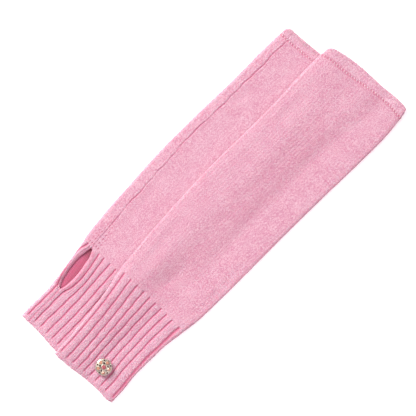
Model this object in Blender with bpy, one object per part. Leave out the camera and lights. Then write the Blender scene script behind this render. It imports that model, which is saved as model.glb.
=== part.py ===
# A pair of knitted arm warmers, laid flat, one partly on the other.
#
# Sizes are in millimetres until a point is placed, and metres after that.
# x runs across the pair and y along it, from the hand edges to the elbow edges. z is up.
# The under warmer lies on its back with the palm side up, so its thumb slit and its seam show.
# The upper warmer lies palm down, so its button shows, and drops off the under one's right edge.
# Each warmer is a flat tube of cloth, made of ring after ring: an outer ring and an inner one.

from collections import namedtuple
from math import cos, exp, pi, radians, sin, sqrt

import bmesh
import bpy
import numpy as np
from mathutils import Matrix, Vector

MM = 0.001

# The middle of the pair on the surface is the frame's origin.
PAIR_MIDDLE_X = 0.9
PAIR_MIDDLE_Y = 210.6

SEAM_GAP = 0.3          # between two pieces that are joined edge to edge
REST_GAP = 0.35         # between the two warmers where one lies on the other

# Height of a flat tube, its two layers together, over each stretch
RIB_HEIGHT = 5.0
ARM_HEIGHT = 4.2
BAND_HEIGHT = 4.8
RIB_TO_ARM = 12.0       # length over which the height falls from the rib to the arm
ARM_TO_BAND = 5.0

# Shares of that height: the layer below, the flat hollow, and the layer above takes the rest
LOWER_SHARE = {"rib": 0.36, "arm": 0.43, "band": 0.43}
HOLLOW_SHARE = 0.13

FOLD_REACH = 2.4        # how far in from a side fold the tube's surface is still turning
FOLD_WALL = 1.7         # cloth between the side fold's outside and the hollow
LOFT = 0.4              # the springy fold holds the upper layer up by this much beside it
LOFT_PLACE = 5.0
LOFT_SPREAD = 3.5
EDGE_REACH = 1.6        # rounding of the hand and elbow edges
EDGE_DROP = 0.7

RIB_DEPTH = 1.15        # depth of the purl grooves between ribs
RIB_SHOULDER = 1.1      # half a groove's width at its mouth
RIB_CROWN = 0.15
RIB_PLAIN_EDGE = 3.5    # the cast-off edge is plain for this far
RIB_FADE = 4.0

SEAM_DEPTH = 0.7        # trough of the arm seam, with a low welt along its left side
SEAM_WELT = 0.35
SEAM_REACH = 1.1
LINK_DEPTH = 0.5        # trough where the elbow band is linked on
LINK_REACH = 1.4

THIN_WIDTH = 26.0       # the under one is pressed thinner toward its covered side
THIN_SHARE = 0.25
SAG_START = 402.0       # past the under one's elbow edge the upper one sags
SAG_LENGTH = 20.0
SAG_SHARE = 0.8

# Side folds: y, x
UNDER_LEFT = ((0, -62.0), (31, -61.2), (51, -62.2), (71, -64.5), (91, -67.2), (111, -70.5), (131, -72.2),
              (171, -74.0), (221, -75.7), (271, -74.2), (321, -71.7), (371, -71.0), (402, -69.0))
UNDER_RIGHT = ((0, 13.0), (50, 14.0), (110, 19.5), (150, 23.5), (200, 25.3), (250, 26.5), (300, 28.3),
               (390, 33.8), (402, 34.0))
UPPER_LEFT = ((0, -12.5), (20, -13.0), (60, -16.0), (80, -18.5), (105, -23.0), (130, -25.0), (150, -26.5),
              (200, -28.5), (250, -29.0), (300, -27.0), (340, -26.5), (400, -26.5), (412, -25.0))
UPPER_RIGHT = ((0, 63.0), (21, 62.8), (41, 61.3), (61, 61.8), (81, 62.8), (101, 65.8), (121, 68.8),
               (151, 70.5), (201, 71.8), (251, 72.8), (301, 74.5), (351, 76.8), (391, 77.3), (409, 75.6),
               (420, 74.2))

# Lines across a warmer: share of its width from the left fold, y
UNDER_HAND_EDGE = ((0, 5.5), (0.05, 5.0), (0.65, 3.0), (1, 3.4))
UNDER_RIB_LINE = ((0, 103.5), (0.5, 103.8), (1, 103.5))
UNDER_BAND_LINE = ((0, 387.5), (0.15, 388.0), (0.32, 389.3), (0.42, 390.3), (1, 391.0))
UNDER_ELBOW_EDGE = ((0, 394.5), (0.03, 397.2), (0.1, 397.8), (0.29, 399.0), (0.42, 400.3), (0.95, 401.5),
                    (1, 398.5))
UPPER_HAND_EDGE = ((0, 1.0), (0.04, 0.3), (0.17, 1.0), (0.3, 1.6), (0.43, 2.5), (0.56, 3.3), (0.95, 3.1),
                   (1, 4.6))
UPPER_RIB_LINE = ((0, 107.2), (0.45, 107.0), (0.7, 106.5), (1, 105.0))
UPPER_BAND_LINE = ((0, 400.5), (0.06, 402.3), (0.25, 404.0), (0.45, 406.8), (0.64, 409.8), (0.84, 410.8),
                   (1, 409.5))
UPPER_ELBOW_EDGE = ((0, 410.0), (0.03, 412.7), (0.1, 415.0), (0.2, 417.0), (0.3, 418.4), (0.65, 419.6),
                    (0.87, 421.0), (0.95, 420.6), (0.985, 419.0), (1, 416.0))

# Purl grooves: share of the width from the left fold, near the hand edge, halfway and at the rib line
GROOVE_STATIONS = (3, 50, 99)
UNDER_GROOVES = ((0.040, 0.040, 0.042), (0.180, 0.226, 0.223), (0.280, 0.282, 0.303), (0.393, 0.392, 0.396),
                 (0.500, 0.494, 0.486), (0.607, 0.592, 0.566), (0.713, 0.700, 0.665), (0.820, 0.805, 0.770),
                 (0.925, 0.910, 0.875))
UPPER_GROOVES = ((0.046, 0.058, 0.067), (0.159, 0.165, 0.168), (0.258, 0.263, 0.263), (0.351, 0.360, 0.364),
                 (0.444, 0.450, 0.459), (0.536, 0.540, 0.548), (0.642, 0.636, 0.638), (0.742, 0.733, 0.727),
                 (0.828, 0.829, 0.817), (0.955, 0.945, 0.922))

# Thumb slit in the palm layer: distance from the hand edge, its left and right lips from the left fold
SLIT_LIPS = ((45.5, 7.8, 9.6), (50, 5.9, 11.4), (55, 3.9, 12.1), (62, 3.6, 13.2), (70, 3.6, 13.9),
             (80, 4.4, 13.9), (90, 7.7, 13.7), (96, 10.2, 11.7))
SLIT_SHARE = 0.1        # where across the tube the slit's distances are measured
SLIT_STRIP_FADE = 8.0   # the outermost groove gives way beside the slit over this length

DROP_START = 1.5        # how far past the under one's fold the upper one starts to come down
# Width over which the upper warmer comes down to the surface: y, width
DROP_WIDTHS = ((0, 15.0), (100, 17.0), (200, 24.0), (400, 26.0))

# Arm seam of the under warmer: y, x
ARM_SEAM = ((100, -58.8), (120, -59.5), (150, -61.5), (200, -63.0), (250, -64.5), (280, -63.5), (320, -62.0),
            (360, -61.0), (402, -60.8))

# Button
BUTTON_X = 32.5
BUTTON_Y = 24.5
BUTTON_RADIUS = 8.4
BUTTON_LOBES = 5
BUTTON_LOBE_DEPTH = 0.25
BUTTON_SIDES = 40
BUTTON_TURN = 20.0      # degrees, of the ring of stones
SHANK_RADIUS = 2.0
SHANK_GAP = 0.3         # between the shank's foot and the rib that it is sewn to
# Turned outline of the frame above its shank: radius, height over the cloth, whether the rim's lobes move it
BUTTON_OUTLINE = ((2.0, 1.0, False), (6.9, 1.0, False), (7.9, 1.3, True), (8.4, 1.9, True), (8.2, 2.5, True),
                  (7.4, 2.9, True), (5.6, 3.7, False), (3.6, 4.2, False), (1.8, 4.4, False))
STONE_GAP = 0.3
CENTRE_STONE = {"girdle": 2.2, "table": 1.3, "height": 1.3, "sides": 10}
PETAL_STONE = {"girdle": 1.7, "table": 1.0, "height": 1.1, "sides": 8}
PETAL_CIRCLE = 5.5
PETAL_COUNT = 5

FOLD_STEPS = (0.0, 0.35, 1.1, FOLD_REACH)
HOLLOW_STEPS = (0.0, 0.3, 0.9)
HOLLOW_REACH = HOLLOW_STEPS[-1]

Column = namedtuple("Column", "inset face relief lip")
Piece = namedtuple("Piece", "kind lower upper")


def curve(table, t):
    # smooth curve through the table's points, level past its ends
    xs, ys = np.array(table, dtype=float).T[:2]
    slopes = np.gradient(ys, xs)
    k = int(np.clip(np.searchsorted(xs, t) - 1, 0, len(xs) - 2))
    step = xs[k + 1] - xs[k]
    f = min(max((t - xs[k]) / step, 0.0), 1.0)
    value = ys[k] * (1 + 2 * f) * (1 - f) ** 2 + ys[k + 1] * f * f * (3 - 2 * f)
    return value + step * (slopes[k] * f * (1 - f) ** 2 - slopes[k + 1] * f * f * (1 - f))


def ease(t):
    t = min(max(t, 0.0), 1.0)
    return t * t * (3 - 2 * t)


def arc(t):
    # quarter round that rises from 0 to 1 while t does
    t = min(max(t, 0.0), 1.0)
    return sqrt(1 - (1 - t) ** 2)


def loft_height(y, rib_line, band_line):
    height = RIB_HEIGHT + (ARM_HEIGHT - RIB_HEIGHT) * ease((y - rib_line) / RIB_TO_ARM)
    return height + (BAND_HEIGHT - ARM_HEIGHT) * ease((y - band_line) / ARM_TO_BAND + 1)


def under_height(x, y):
    covered = curve(UNDER_RIGHT, y) - THIN_WIDTH
    full = loft_height(y, UNDER_RIB_LINE[0][1], UNDER_BAND_LINE[0][1])
    return full * (1 - THIN_SHARE * ease((x - covered) / THIN_WIDTH))


def upper_height(x, y):
    return loft_height(y, UPPER_RIB_LINE[0][1], curve(UPPER_BAND_LINE, 0.5))


def on_surface(x, y):
    return 0.0


def on_under_warmer(x, y):
    # height of what the upper warmer lies on: the under one, then the slope down to the surface
    edge = curve(UNDER_RIGHT, y)
    carried = under_height(min(x, edge), y) + REST_GAP
    carried *= 1 - SAG_SHARE * ease((y - SAG_START) / SAG_LENGTH)
    return carried * (1 - ease((x - edge - DROP_START) / curve(DROP_WIDTHS, y)))


UNDER = {
    "left": UNDER_LEFT, "right": UNDER_RIGHT, "height": under_height, "rest": on_surface,
    "lofts": (LOFT, 0.0), "grooves": UNDER_GROOVES, "palm": 1,
    "rib": Piece("rib", UNDER_HAND_EDGE, UNDER_RIB_LINE),
    "arm": Piece("arm", UNDER_RIB_LINE, UNDER_BAND_LINE),
    "band": Piece("band", UNDER_BAND_LINE, UNDER_ELBOW_EDGE),
}
UPPER = {
    "left": UPPER_LEFT, "right": UPPER_RIGHT, "height": upper_height, "rest": on_under_warmer,
    "lofts": (LOFT, LOFT), "grooves": UPPER_GROOVES, "palm": -1,
    "rib": Piece("rib", UPPER_HAND_EDGE, UPPER_RIB_LINE),
    "arm": Piece("arm", UPPER_RIB_LINE, UPPER_BAND_LINE),
    "band": Piece("band", UPPER_BAND_LINE, UPPER_ELBOW_EDGE),
}


def along(piece, s, u):
    # y of a piece's row s at the share u of its width
    return curve(piece.lower, u) * (1 - s) + curve(piece.upper, u) * s


def row_ends(warmer, piece, s):
    left = curve(warmer["left"], along(piece, s, 0))
    right = curve(warmer["right"], along(piece, s, 1))
    return left, right


def surface_point(warmer, piece, s, column, inner):
    left, right = row_ends(warmer, piece, s)
    width = right - left
    u = column.inset / width
    x = left + column.inset
    y = along(piece, s, u)
    height = warmer["height"](x, y)
    rest = warmer["rest"](x, y)
    from_fold = min(column.inset, width - column.inset)
    loft = warmer["lofts"][0] if column.inset < width / 2 else warmer["lofts"][1]
    lift = loft * exp(-((from_fold - LOFT_PLACE) / LOFT_SPREAD) ** 2) if column.face > 0 else 0.0
    if inner:
        hollow = height * HOLLOW_SHARE
        middle = height * LOWER_SHARE[piece.kind] + hollow / 2
        z = middle + column.face * hollow / 2 * arc((from_fold - FOLD_WALL) / HOLLOW_REACH) + lift
    else:
        middle = height / 2
        z = middle + column.face * height / 2 * arc(from_fold / FOLD_REACH) + lift
        z += column.relief * height / RIB_HEIGHT
        if column.face > 0:
            z -= edge_drop(piece, s, u)
    return x, y, rest + z


def edge_drop(piece, s, u):
    # the free edges are rounded, and the band is linked on in a narrow trough
    length = curve(piece.upper, u) - curve(piece.lower, u)
    from_lower = s * length
    from_upper = (1 - s) * length
    drop = 0.0
    if piece.kind == "rib":
        drop += EDGE_DROP * (1 - arc(from_lower / EDGE_REACH))
    if piece.kind == "band":
        drop += EDGE_DROP * (1 - arc(from_upper / EDGE_REACH))
        drop += LINK_DEPTH * (1 - ease(from_lower / LINK_REACH))
    if piece.kind == "arm":
        drop += LINK_DEPTH * (1 - ease(from_upper / LINK_REACH))
    return drop


def kept_in_order(insets, first, last, least=0.25):
    # moves columns that crowd a neighbour, so that each stays past the one before it
    insets = list(insets)
    limit = last
    for k in reversed(range(len(insets))):
        insets[k] = min(insets[k], limit - least)
        limit = insets[k]
    limit = first
    for k in range(len(insets)):
        insets[k] = max(insets[k], limit + least)
        limit = insets[k]
    return insets


def ordered(columns, width):
    insets = kept_in_order([column.inset for column in columns], FOLD_REACH, width - FOLD_REACH)
    return [column._replace(inset=inset) for column, inset in zip(columns, insets)]


def even_columns(start, end, count, face):
    return [Column(start + (end - start) * k / (count - 1), face, 0.0, None) for k in range(count)]


def lip_columns(distance, face):
    return [Column(curve([(row[0], row[1 + k]) for row in SLIT_LIPS], distance), face, 0.0, lip)
            for k, lip in enumerate(("left", "right"))]


def rib_columns(warmer, width, distance, length):
    # crowns and purl grooves across the upper layer, fading out toward both ends of the rib
    fade = ease((distance - RIB_PLAIN_EDGE) / RIB_FADE) * ease((length - distance) / RIB_FADE)
    beside_slit = max(ease((SLIT_LIPS[0][0] - distance) / SLIT_STRIP_FADE),
                      ease((distance - SLIT_LIPS[-1][0] + SLIT_STRIP_FADE) / SLIT_STRIP_FADE))
    columns = []
    previous = None
    for number, shares in enumerate(warmer["grooves"]):
        place = curve(list(zip(GROOVE_STATIONS, shares)), distance) * width
        depth = RIB_DEPTH * fade
        if number == 0 and warmer["palm"] > 0:
            depth *= beside_slit
        if number == 1 and warmer["palm"] > 0:
            columns += lip_columns(distance, 1)
        elif previous is not None:
            columns.append(Column((previous + place) / 2, 1, RIB_CROWN * fade, None))
        columns.append(Column(place - RIB_SHOULDER, 1, 0.0, None))
        columns.append(Column(place, 1, -depth, None))
        columns.append(Column(place + RIB_SHOULDER, 1, 0.0, None))
        previous = place
    return ordered(columns, width)


def seam_columns(warmer, piece, s, width, count):
    # the palm layer of the under warmer's arm, with the seam's welt and trough
    left, _ = row_ends(warmer, piece, s)
    place = curve(ARM_SEAM, along(piece, s, SLIT_SHARE)) - left
    reliefs = ((-2.0, 0.0), (-1.0, SEAM_WELT), (0.0, -SEAM_DEPTH), (1.0, SEAM_WELT / 3), (2.4, 0.0))
    seam = [Column(place + step * SEAM_REACH, 1, relief, None) for step, relief in reliefs]
    rest = even_columns(place + 7, width - 6, count, 1)
    return ordered(seam + rest, width)


def ring_columns(top, bottom, steps, wall, width):
    # a ring starts at the left fold, crosses the upper layer and comes back along the lower one
    path = [Column(wall + step, 1, 0.0, None) for step in steps]
    path += top
    path += [Column(width - wall - step, 1, 0.0, None) for step in reversed(steps)]
    path += [Column(width - wall - step, -1, 0.0, None) for step in steps[1:]]
    path += reversed(bottom)
    path += [Column(wall + step, -1, 0.0, None) for step in reversed(steps[1:])]
    return path


def ring_turns(path, wall, width):
    # how far round the ring each column is, from 0 to 2
    turns = []
    for column in path:
        share = (column.inset - wall) / (width - 2 * wall)
        turns.append(share if column.face > 0 else 2 - share)
    return turns


def bridge_rings(ring, ring_turn, other, other_turn):
    # triangles of the flat end between an outer ring and an inner one with another number of points
    faces = []
    i = 0
    j = 0
    while i < len(ring) or j < len(other):
        next_i = ring_turn[i + 1] if i + 1 < len(ring) else 2.0
        next_j = other_turn[j + 1] if j + 1 < len(other) else 2.0
        here = ring[i % len(ring)]
        across = other[j % len(other)]
        if j >= len(other) or (i < len(ring) and next_i <= next_j):
            faces.append((here, ring[(i + 1) % len(ring)], across))
            i += 1
        else:
            faces.append((here, other[(j + 1) % len(other)], across))
            j += 1
    return faces


def lip_indices(path):
    lips = {column.lip: k for k, column in enumerate(path) if column.lip}
    return sorted(lips.values())


def tube_mesh(name, warmer, piece, rows, outer_columns, inner_columns, slit_rows=None):
    # rows: shares along the piece, outer_columns and inner_columns: row to the ring's columns
    points = []
    outer = []
    inner = []
    turns = []
    for s in rows:
        left, right = row_ends(warmer, piece, s)
        width = right - left
        outer_path = ring_columns(*outer_columns(s, width), FOLD_STEPS, 0.0, width)
        inner_path = ring_columns(*inner_columns(s, width), HOLLOW_STEPS, FOLD_WALL, width)
        for path, rings, is_inner in ((outer_path, outer, False), (inner_path, inner, True)):
            rings.append(range(len(points), len(points) + len(path)))
            points += [surface_point(warmer, piece, s, column, is_inner) for column in path]
        turns.append((ring_turns(outer_path, 0.0, width), ring_turns(inner_path, FOLD_WALL, width)))
    lips = (lip_indices(outer_path), lip_indices(inner_path))
    faces = []
    for k in range(len(rows) - 1):
        cut = slit_rows is not None and slit_rows[0] <= k < slit_rows[1]
        for rings, lip in ((outer, lips[0]), (inner, lips[1])):
            count = len(rings[k])
            for i in range(count):
                if cut and i == lip[0]:
                    continue
                j = (i + 1) % count
                faces.append((rings[k][i], rings[k][j], rings[k + 1][j], rings[k + 1][i]))
        if cut:
            for a, b in zip(*lips):
                faces.append((outer[k][a], outer[k + 1][a], inner[k + 1][b], inner[k][b]))
    if slit_rows is not None:
        for k in slit_rows:
            (a, b), (c, d) = lips
            faces.append((outer[k][a], outer[k][b], inner[k][d], inner[k][c]))
    for k in (0, len(rows) - 1):
        faces += bridge_rings(list(outer[k]), turns[k][0], list(inner[k]), turns[k][1])
    placed = [((x - PAIR_MIDDLE_X) * MM, (y - PAIR_MIDDLE_Y) * MM, z * MM) for x, y, z in points]
    return mesh_from(name, placed, faces)


def mesh_from(name, points, faces):
    mesh = bpy.data.meshes.new(name)
    mesh.from_pydata(points, [], faces)
    shape = bmesh.new()
    shape.from_mesh(mesh)
    bmesh.ops.recalc_face_normals(shape, faces=shape.faces)
    shape.to_mesh(mesh)
    shape.free()
    mesh.shade_smooth()
    mesh.set_sharp_from_angle(angle=radians(40))
    return mesh


def add_object(name, mesh, finish):
    mesh.materials.append(finish)
    thing = bpy.data.objects.new(name, mesh)
    bpy.context.scene.collection.objects.link(thing)
    return thing


def material(name, colour, roughness, metallic=0.0):
    finish = bpy.data.materials.new(name)
    finish.use_nodes = True
    shader = finish.node_tree.nodes["Principled BSDF"]
    shader.inputs["Base Color"].default_value = (*colour, 1.0)
    shader.inputs["Roughness"].default_value = roughness
    shader.inputs["Metallic"].default_value = metallic
    return finish


# Rows of a piece are set out by their distances from its lower line. Where another piece follows, the
# first or last row stands back half a seam gap.


def add_hand_rib(name, warmer, finish):
    piece = warmer["rib"]
    length = along(piece, 1, SLIT_SHARE) - along(piece, 0, SLIT_SHARE)
    slit = [row[0] for row in SLIT_LIPS]
    distances = [0, EDGE_REACH, RIB_PLAIN_EDGE + 1, 8, 24, slit[0] - 3] + slit
    distances += [length - RIB_FADE + 1.5, length - SEAM_GAP / 2]
    distances = sorted(distances)
    rows = [distance / length for distance in distances]
    slit_rows = (distances.index(slit[0]), distances.index(slit[-1]))
    palm_up = warmer["palm"] > 0

    def palm_columns(s, width, face, count):
        lips = lip_columns(s * length, face)
        return lips + even_columns(lips[1].inset + 4, width - 6, count, face)

    def outer_columns(s, width):
        top = rib_columns(warmer, width, s * length, length)
        if palm_up:
            return top, even_columns(6, width - 6, 12, -1)
        return top, ordered(palm_columns(s, width, -1, 16), width)

    def inner_columns(s, width):
        if palm_up:
            return palm_columns(s, width, 1, 12), even_columns(6, width - 6, 12, -1)
        return even_columns(6, width - 6, 16, 1), palm_columns(s, width, -1, 16)

    mesh = tube_mesh(name, warmer, piece, rows, outer_columns, inner_columns, slit_rows)
    return add_object(name, mesh, finish)


def add_plain_tube(name, warmer, piece, rows, count, finish):
    def outer_columns(s, width):
        bottom = even_columns(6, width - 6, count, -1)
        if warmer["palm"] > 0:
            return seam_columns(warmer, piece, s, width, count), bottom
        return even_columns(6, width - 6, count, 1), bottom

    def inner_columns(s, width):
        return even_columns(6, width - 6, count, 1), even_columns(6, width - 6, count, -1)

    mesh = tube_mesh(name, warmer, piece, rows, outer_columns, inner_columns)
    return add_object(name, mesh, finish)


def add_arm(name, warmer, count, finish):
    piece = warmer["arm"]
    length = along(piece, 1, 0.5) - along(piece, 0, 0.5)
    distances = [SEAM_GAP / 2, 4, 8, 14, 30, 60, 90, 120, 150, 180, 210, 240, length - 24, length - 18,
                 length - ARM_TO_BAND, length - LINK_REACH, length - SEAM_GAP / 2]
    rows = [distance / length for distance in distances]
    return add_plain_tube(name, warmer, piece, rows, count, finish)


def add_band(name, warmer, count, finish):
    piece = warmer["band"]
    length = along(piece, 1, 0.5) - along(piece, 0, 0.5)
    distances = [SEAM_GAP / 2, LINK_REACH, length / 2, length - EDGE_REACH, length - EDGE_REACH / 3, length]
    rows = [distance / length for distance in distances]
    return add_plain_tube(name, warmer, piece, rows, count, finish)


def cloth_top(x):
    return on_under_warmer(x, BUTTON_Y) + upper_height(x, BUTTON_Y) + RIB_CROWN


def button_base_height():
    # the frame's rim clears the cloth, which still slopes a little there, on both sides
    return (cloth_top(BUTTON_X - BUTTON_RADIUS) + cloth_top(BUTTON_X + BUTTON_RADIUS)) / 2


def button_frame_matrix():
    rise = cloth_top(BUTTON_X - BUTTON_RADIUS) - cloth_top(BUTTON_X + BUTTON_RADIUS)
    tilt = np.arctan2(rise, 2 * BUTTON_RADIUS)
    place = Vector((BUTTON_X - PAIR_MIDDLE_X, BUTTON_Y - PAIR_MIDDLE_Y, button_base_height())) * MM
    return Matrix.Translation(place) @ Matrix.Rotation(tilt, 4, "Y")


def button_surface(radius):
    # height of the frame's front at a radius, between the outline's last rows
    front = [(row[0], row[1]) for row in BUTTON_OUTLINE[-4:]]
    return curve(sorted(front), radius)


def add_button_frame(finish):
    shape = bmesh.new()
    rings = []
    foot = cloth_top(BUTTON_X) + SHANK_GAP - button_base_height()
    for radius, height, scalloped in ((SHANK_RADIUS, foot, False), *BUTTON_OUTLINE):
        ring = []
        for k in range(BUTTON_SIDES):
            angle = 2 * pi * k / BUTTON_SIDES
            lobe = BUTTON_LOBE_DEPTH * cos(BUTTON_LOBES * (angle - radians(BUTTON_TURN))) if scalloped else 0.0
            reach = radius + lobe
            ring.append(shape.verts.new(Vector((reach * cos(angle), reach * sin(angle), height)) * MM))
        rings.append(ring)
    shape.faces.new(reversed(rings[0]))
    shape.faces.new(rings[-1])
    for low, high in zip(rings, rings[1:]):
        for k in range(BUTTON_SIDES):
            j = (k + 1) % BUTTON_SIDES
            shape.faces.new((low[k], low[j], high[j], high[k]))
    mesh = bpy.data.meshes.new("button_frame")
    shape.to_mesh(mesh)
    shape.free()
    mesh.shade_smooth()
    mesh.set_sharp_from_angle(angle=radians(40))
    frame = add_object("button_frame", mesh, finish)
    frame.matrix_world = button_frame_matrix()
    return frame


def add_stone(name, cut, radius, angle, finish):
    # a flat-backed faceted stone on the frame's front, tipped outward with the dome's slope
    shape = bmesh.new()
    levels = ((cut["girdle"] * 0.85, 0.0), (cut["girdle"], 0.35), (cut["table"], cut["height"]))
    rings = []
    for reach, height in levels:
        turns = [2 * pi * k / cut["sides"] for k in range(cut["sides"])]
        rings.append([shape.verts.new(Vector((reach * cos(a), reach * sin(a), height)) * MM) for a in turns])
    shape.faces.new(reversed(rings[0]))
    shape.faces.new(rings[-1])
    for low, high in zip(rings, rings[1:]):
        for k in range(cut["sides"]):
            j = (k + 1) % cut["sides"]
            shape.faces.new((low[k], low[j], high[j], high[k]))
    mesh = bpy.data.meshes.new(name)
    shape.to_mesh(mesh)
    shape.free()
    stone = add_object(name, mesh, finish)
    step = 0.5
    slope = (button_surface(radius + step) - button_surface(max(radius - step, 0.0))) / (2 * step)
    tip = Matrix.Rotation(-np.arctan(slope), 4, "Y") if radius else Matrix.Identity(4)
    place = Matrix.Translation(Vector((radius, 0, button_surface(radius) + STONE_GAP)) * MM)
    stone.matrix_world = button_frame_matrix() @ Matrix.Rotation(angle, 4, "Z") @ place @ tip
    return stone


def build():
    for thing in list(bpy.data.objects):
        bpy.data.objects.remove(thing, do_unlink=True)
    under_knit = material("under_knit", (0.87, 0.46, 0.58), 0.95)
    upper_knit = material("upper_knit", (0.88, 0.47, 0.59), 0.95)
    add_hand_rib("under_hand_rib", UNDER, under_knit)
    add_arm("under_arm_tube", UNDER, 14, under_knit)
    add_band("under_elbow_band", UNDER, 14, under_knit)
    add_hand_rib("upper_hand_rib", UPPER, upper_knit)
    add_arm("upper_arm_tube", UPPER, 20, upper_knit)
    add_band("upper_elbow_band", UPPER, 20, upper_knit)
    add_button_frame(material("pale_metal", (0.72, 0.70, 0.66), 0.25, 1.0))
    rose = material("rose_stone", (0.62, 0.2, 0.17), 0.05)
    peach = material("peach_stone", (0.82, 0.42, 0.28), 0.05)
    add_stone("button_centre_stone", CENTRE_STONE, 0.0, 0.0, rose)
    for k in range(PETAL_COUNT):
        angle = radians(BUTTON_TURN) + 2 * pi * k / PETAL_COUNT
        add_stone(f"button_petal_stone_{k + 1}", PETAL_STONE, PETAL_CIRCLE, angle, peach)


build()
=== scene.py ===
from math import cos, pi, radians, sin

import bmesh
import bpy
import numpy as np
from mathutils import Matrix, Vector


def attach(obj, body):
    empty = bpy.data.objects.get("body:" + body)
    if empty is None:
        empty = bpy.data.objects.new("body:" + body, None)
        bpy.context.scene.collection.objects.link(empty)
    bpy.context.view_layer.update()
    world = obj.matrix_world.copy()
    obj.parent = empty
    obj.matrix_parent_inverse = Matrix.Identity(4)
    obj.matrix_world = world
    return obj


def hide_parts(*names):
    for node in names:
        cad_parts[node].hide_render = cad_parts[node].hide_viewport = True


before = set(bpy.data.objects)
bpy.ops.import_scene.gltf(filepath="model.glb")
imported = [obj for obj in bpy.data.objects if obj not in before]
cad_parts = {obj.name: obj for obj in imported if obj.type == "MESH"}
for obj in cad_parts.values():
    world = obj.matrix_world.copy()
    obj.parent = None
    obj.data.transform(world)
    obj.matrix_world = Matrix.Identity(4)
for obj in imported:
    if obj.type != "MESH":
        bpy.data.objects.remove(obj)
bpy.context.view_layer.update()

# Everything is laid out in millimetres on the surface: x across the pair, y from the hand
# edges to the elbow edges, z up. placeMm turns a point to metres in the frame.
mm = 0.001
pairMiddle = (0.9, 210.6)

# Heights of a flat tube of knit, both layers together
cloth = {
    "ribHeight": 5.0,
    "armHeight": 4.2,
    "bandHeight": 4.8,
    "ribToArm": 12.0,        # length over which the rib thins to the arm
    "armToBand": 5.0,
    "lowerShare": {"rib": 0.36, "arm": 0.43, "band": 0.43},
    "hollowShare": 0.13,
    "foldReach": 3.2,        # a side fold turns over this width
    "foldWall": 1.7,
    "hollowReach": 0.9,
    "purlBump": 0.35,
    "loft": 0.15,            # the springy fold holds the upper layer up
    "loftPlace": 8.0,
    "loftSpread": 5.0,
    "nearReach": 10.0,       # and the layer comes over it in a slow curve
    "farThin": 0.55,         # towards the far fold the upper layer lies lower
    "farReach": 15.0,
    "edgeReach": 1.6,
    "edgeDrop": 0.7,
    "restGap": 0.35,
}

# Side folds as y, x and lines across as share of the width, y
underShape = {
    "left": ((0, -62.2), (18, -62.8), (31, -62.2), (51, -62.6), (71, -65.1), (91, -67.8), (111, -71.1),
             (131, -72.9), (171, -74.7), (221, -76.2), (271, -74.9), (321, -72.5), (371, -71.6),
             (402, -69.3)),
    "right": ((0, 13.0), (50, 14.0), (110, 19.5), (150, 23.5), (200, 25.3), (250, 26.5), (300, 28.3),
              (390, 33.8), (402, 34.0)),
    "handEdge": ((0, 5.5), (0.05, 5.1), (0.2, 5.3), (0.65, 3.2), (1, 3.4)),
    "ribLine": ((0, 103.5), (0.5, 103.8), (1, 103.5)),
    "bandLine": ((0, 387.5), (0.15, 388.0), (0.32, 389.3), (0.42, 390.3), (1, 391.0)),
    "elbowEdge": ((0, 394.5), (0.03, 397.2), (0.1, 397.8), (0.29, 399.0), (0.42, 400.3), (0.95, 401.5),
                  (1, 398.5)),
    "palm": 1,               # the palm side is up
    "top": "underTop",
    "below": "underBelow",
    "nearThin": 0.0,
    "innerColumns": 92,      # finer here, where the inside shows through the slit
    "wideGrooves": {19: 1.2},   # counted round from the seam
}
upperShape = {
    "left": ((0, -12.5), (20, -13.0), (60, -16.0), (80, -18.5), (105, -23.0), (130, -25.0), (150, -26.5),
             (200, -28.5), (250, -29.0), (300, -27.0), (340, -26.5), (400, -26.5), (412, -25.0)),
    "right": ((0, 63.0), (21, 62.8), (41, 61.3), (61, 61.8), (81, 62.8), (101, 65.8), (121, 68.8),
              (151, 70.5), (201, 71.8), (251, 72.8), (301, 74.5), (351, 76.8), (391, 77.3), (409, 75.6),
              (420, 74.2)),
    "handEdge": ((0, 1.0), (0.04, 0.3), (0.17, 1.0), (0.3, 1.6), (0.43, 2.9), (0.56, 3.6), (0.78, 4.0),
                 (0.95, 3.4), (1, 4.6)),
    "ribLine": ((0, 107.2), (0.45, 107.0), (0.7, 106.5), (1, 105.0)),
    "bandLine": ((0, 400.5), (0.06, 402.3), (0.25, 404.0), (0.45, 406.8), (0.64, 409.8), (0.84, 410.8),
                 (1, 409.5)),
    "elbowEdge": ((0, 410.0), (0.03, 412.7), (0.1, 415.0), (0.2, 417.0), (0.3, 418.4), (0.65, 419.6),
                  (0.87, 421.0), (0.95, 420.6), (0.985, 419.0), (1, 416.0)),
    "palm": -1,              # palm down, so the back of the hand shows
    "top": "upperTop",
    "below": "upperBelow",
    "nearThin": 0.4,
    "innerColumns": 48,
    "wideGrooves": {9: 1.8},
}


def curve(table, t, column=1):
    # smooth curve through a table's points, level past its ends
    points = np.array(table, float)
    xs, ys = points[:, 0], points[:, column]
    slopes = np.gradient(ys, xs)
    t = np.asarray(t, float)
    k = np.clip(np.searchsorted(xs, t) - 1, 0, len(xs) - 2)
    step = xs[k + 1] - xs[k]
    f = np.clip((t - xs[k]) / step, 0.0, 1.0)
    value = ys[k] * (1 + 2 * f) * (1 - f) ** 2 + ys[k + 1] * f * f * (3 - 2 * f)
    return value + step * (slopes[k] * f * (1 - f) ** 2 - slopes[k + 1] * f * f * (1 - f))


def ease(t):
    t = np.clip(t, 0.0, 1.0)
    return t * t * (3 - 2 * t)


def quarterRound(t):
    t = np.clip(t, 0.0, 1.0)
    return np.sqrt(1 - (1 - t) ** 2)


def bump(t):
    return np.exp(-t * t)


def easeBetween(value, low, high, reach):
    # 1 between low and high, easing to 0 at either of them
    return ease((value - low) / reach) * ease((high - value) / reach)


def loftHeight(y, ribLine, bandLine):
    rib, arm, band = cloth["ribHeight"], cloth["armHeight"], cloth["bandHeight"]
    height = rib + (arm - rib) * ease((y - ribLine) / cloth["ribToArm"])
    return height + (band - arm) * ease((y - bandLine) / cloth["armToBand"] + 1)


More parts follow.
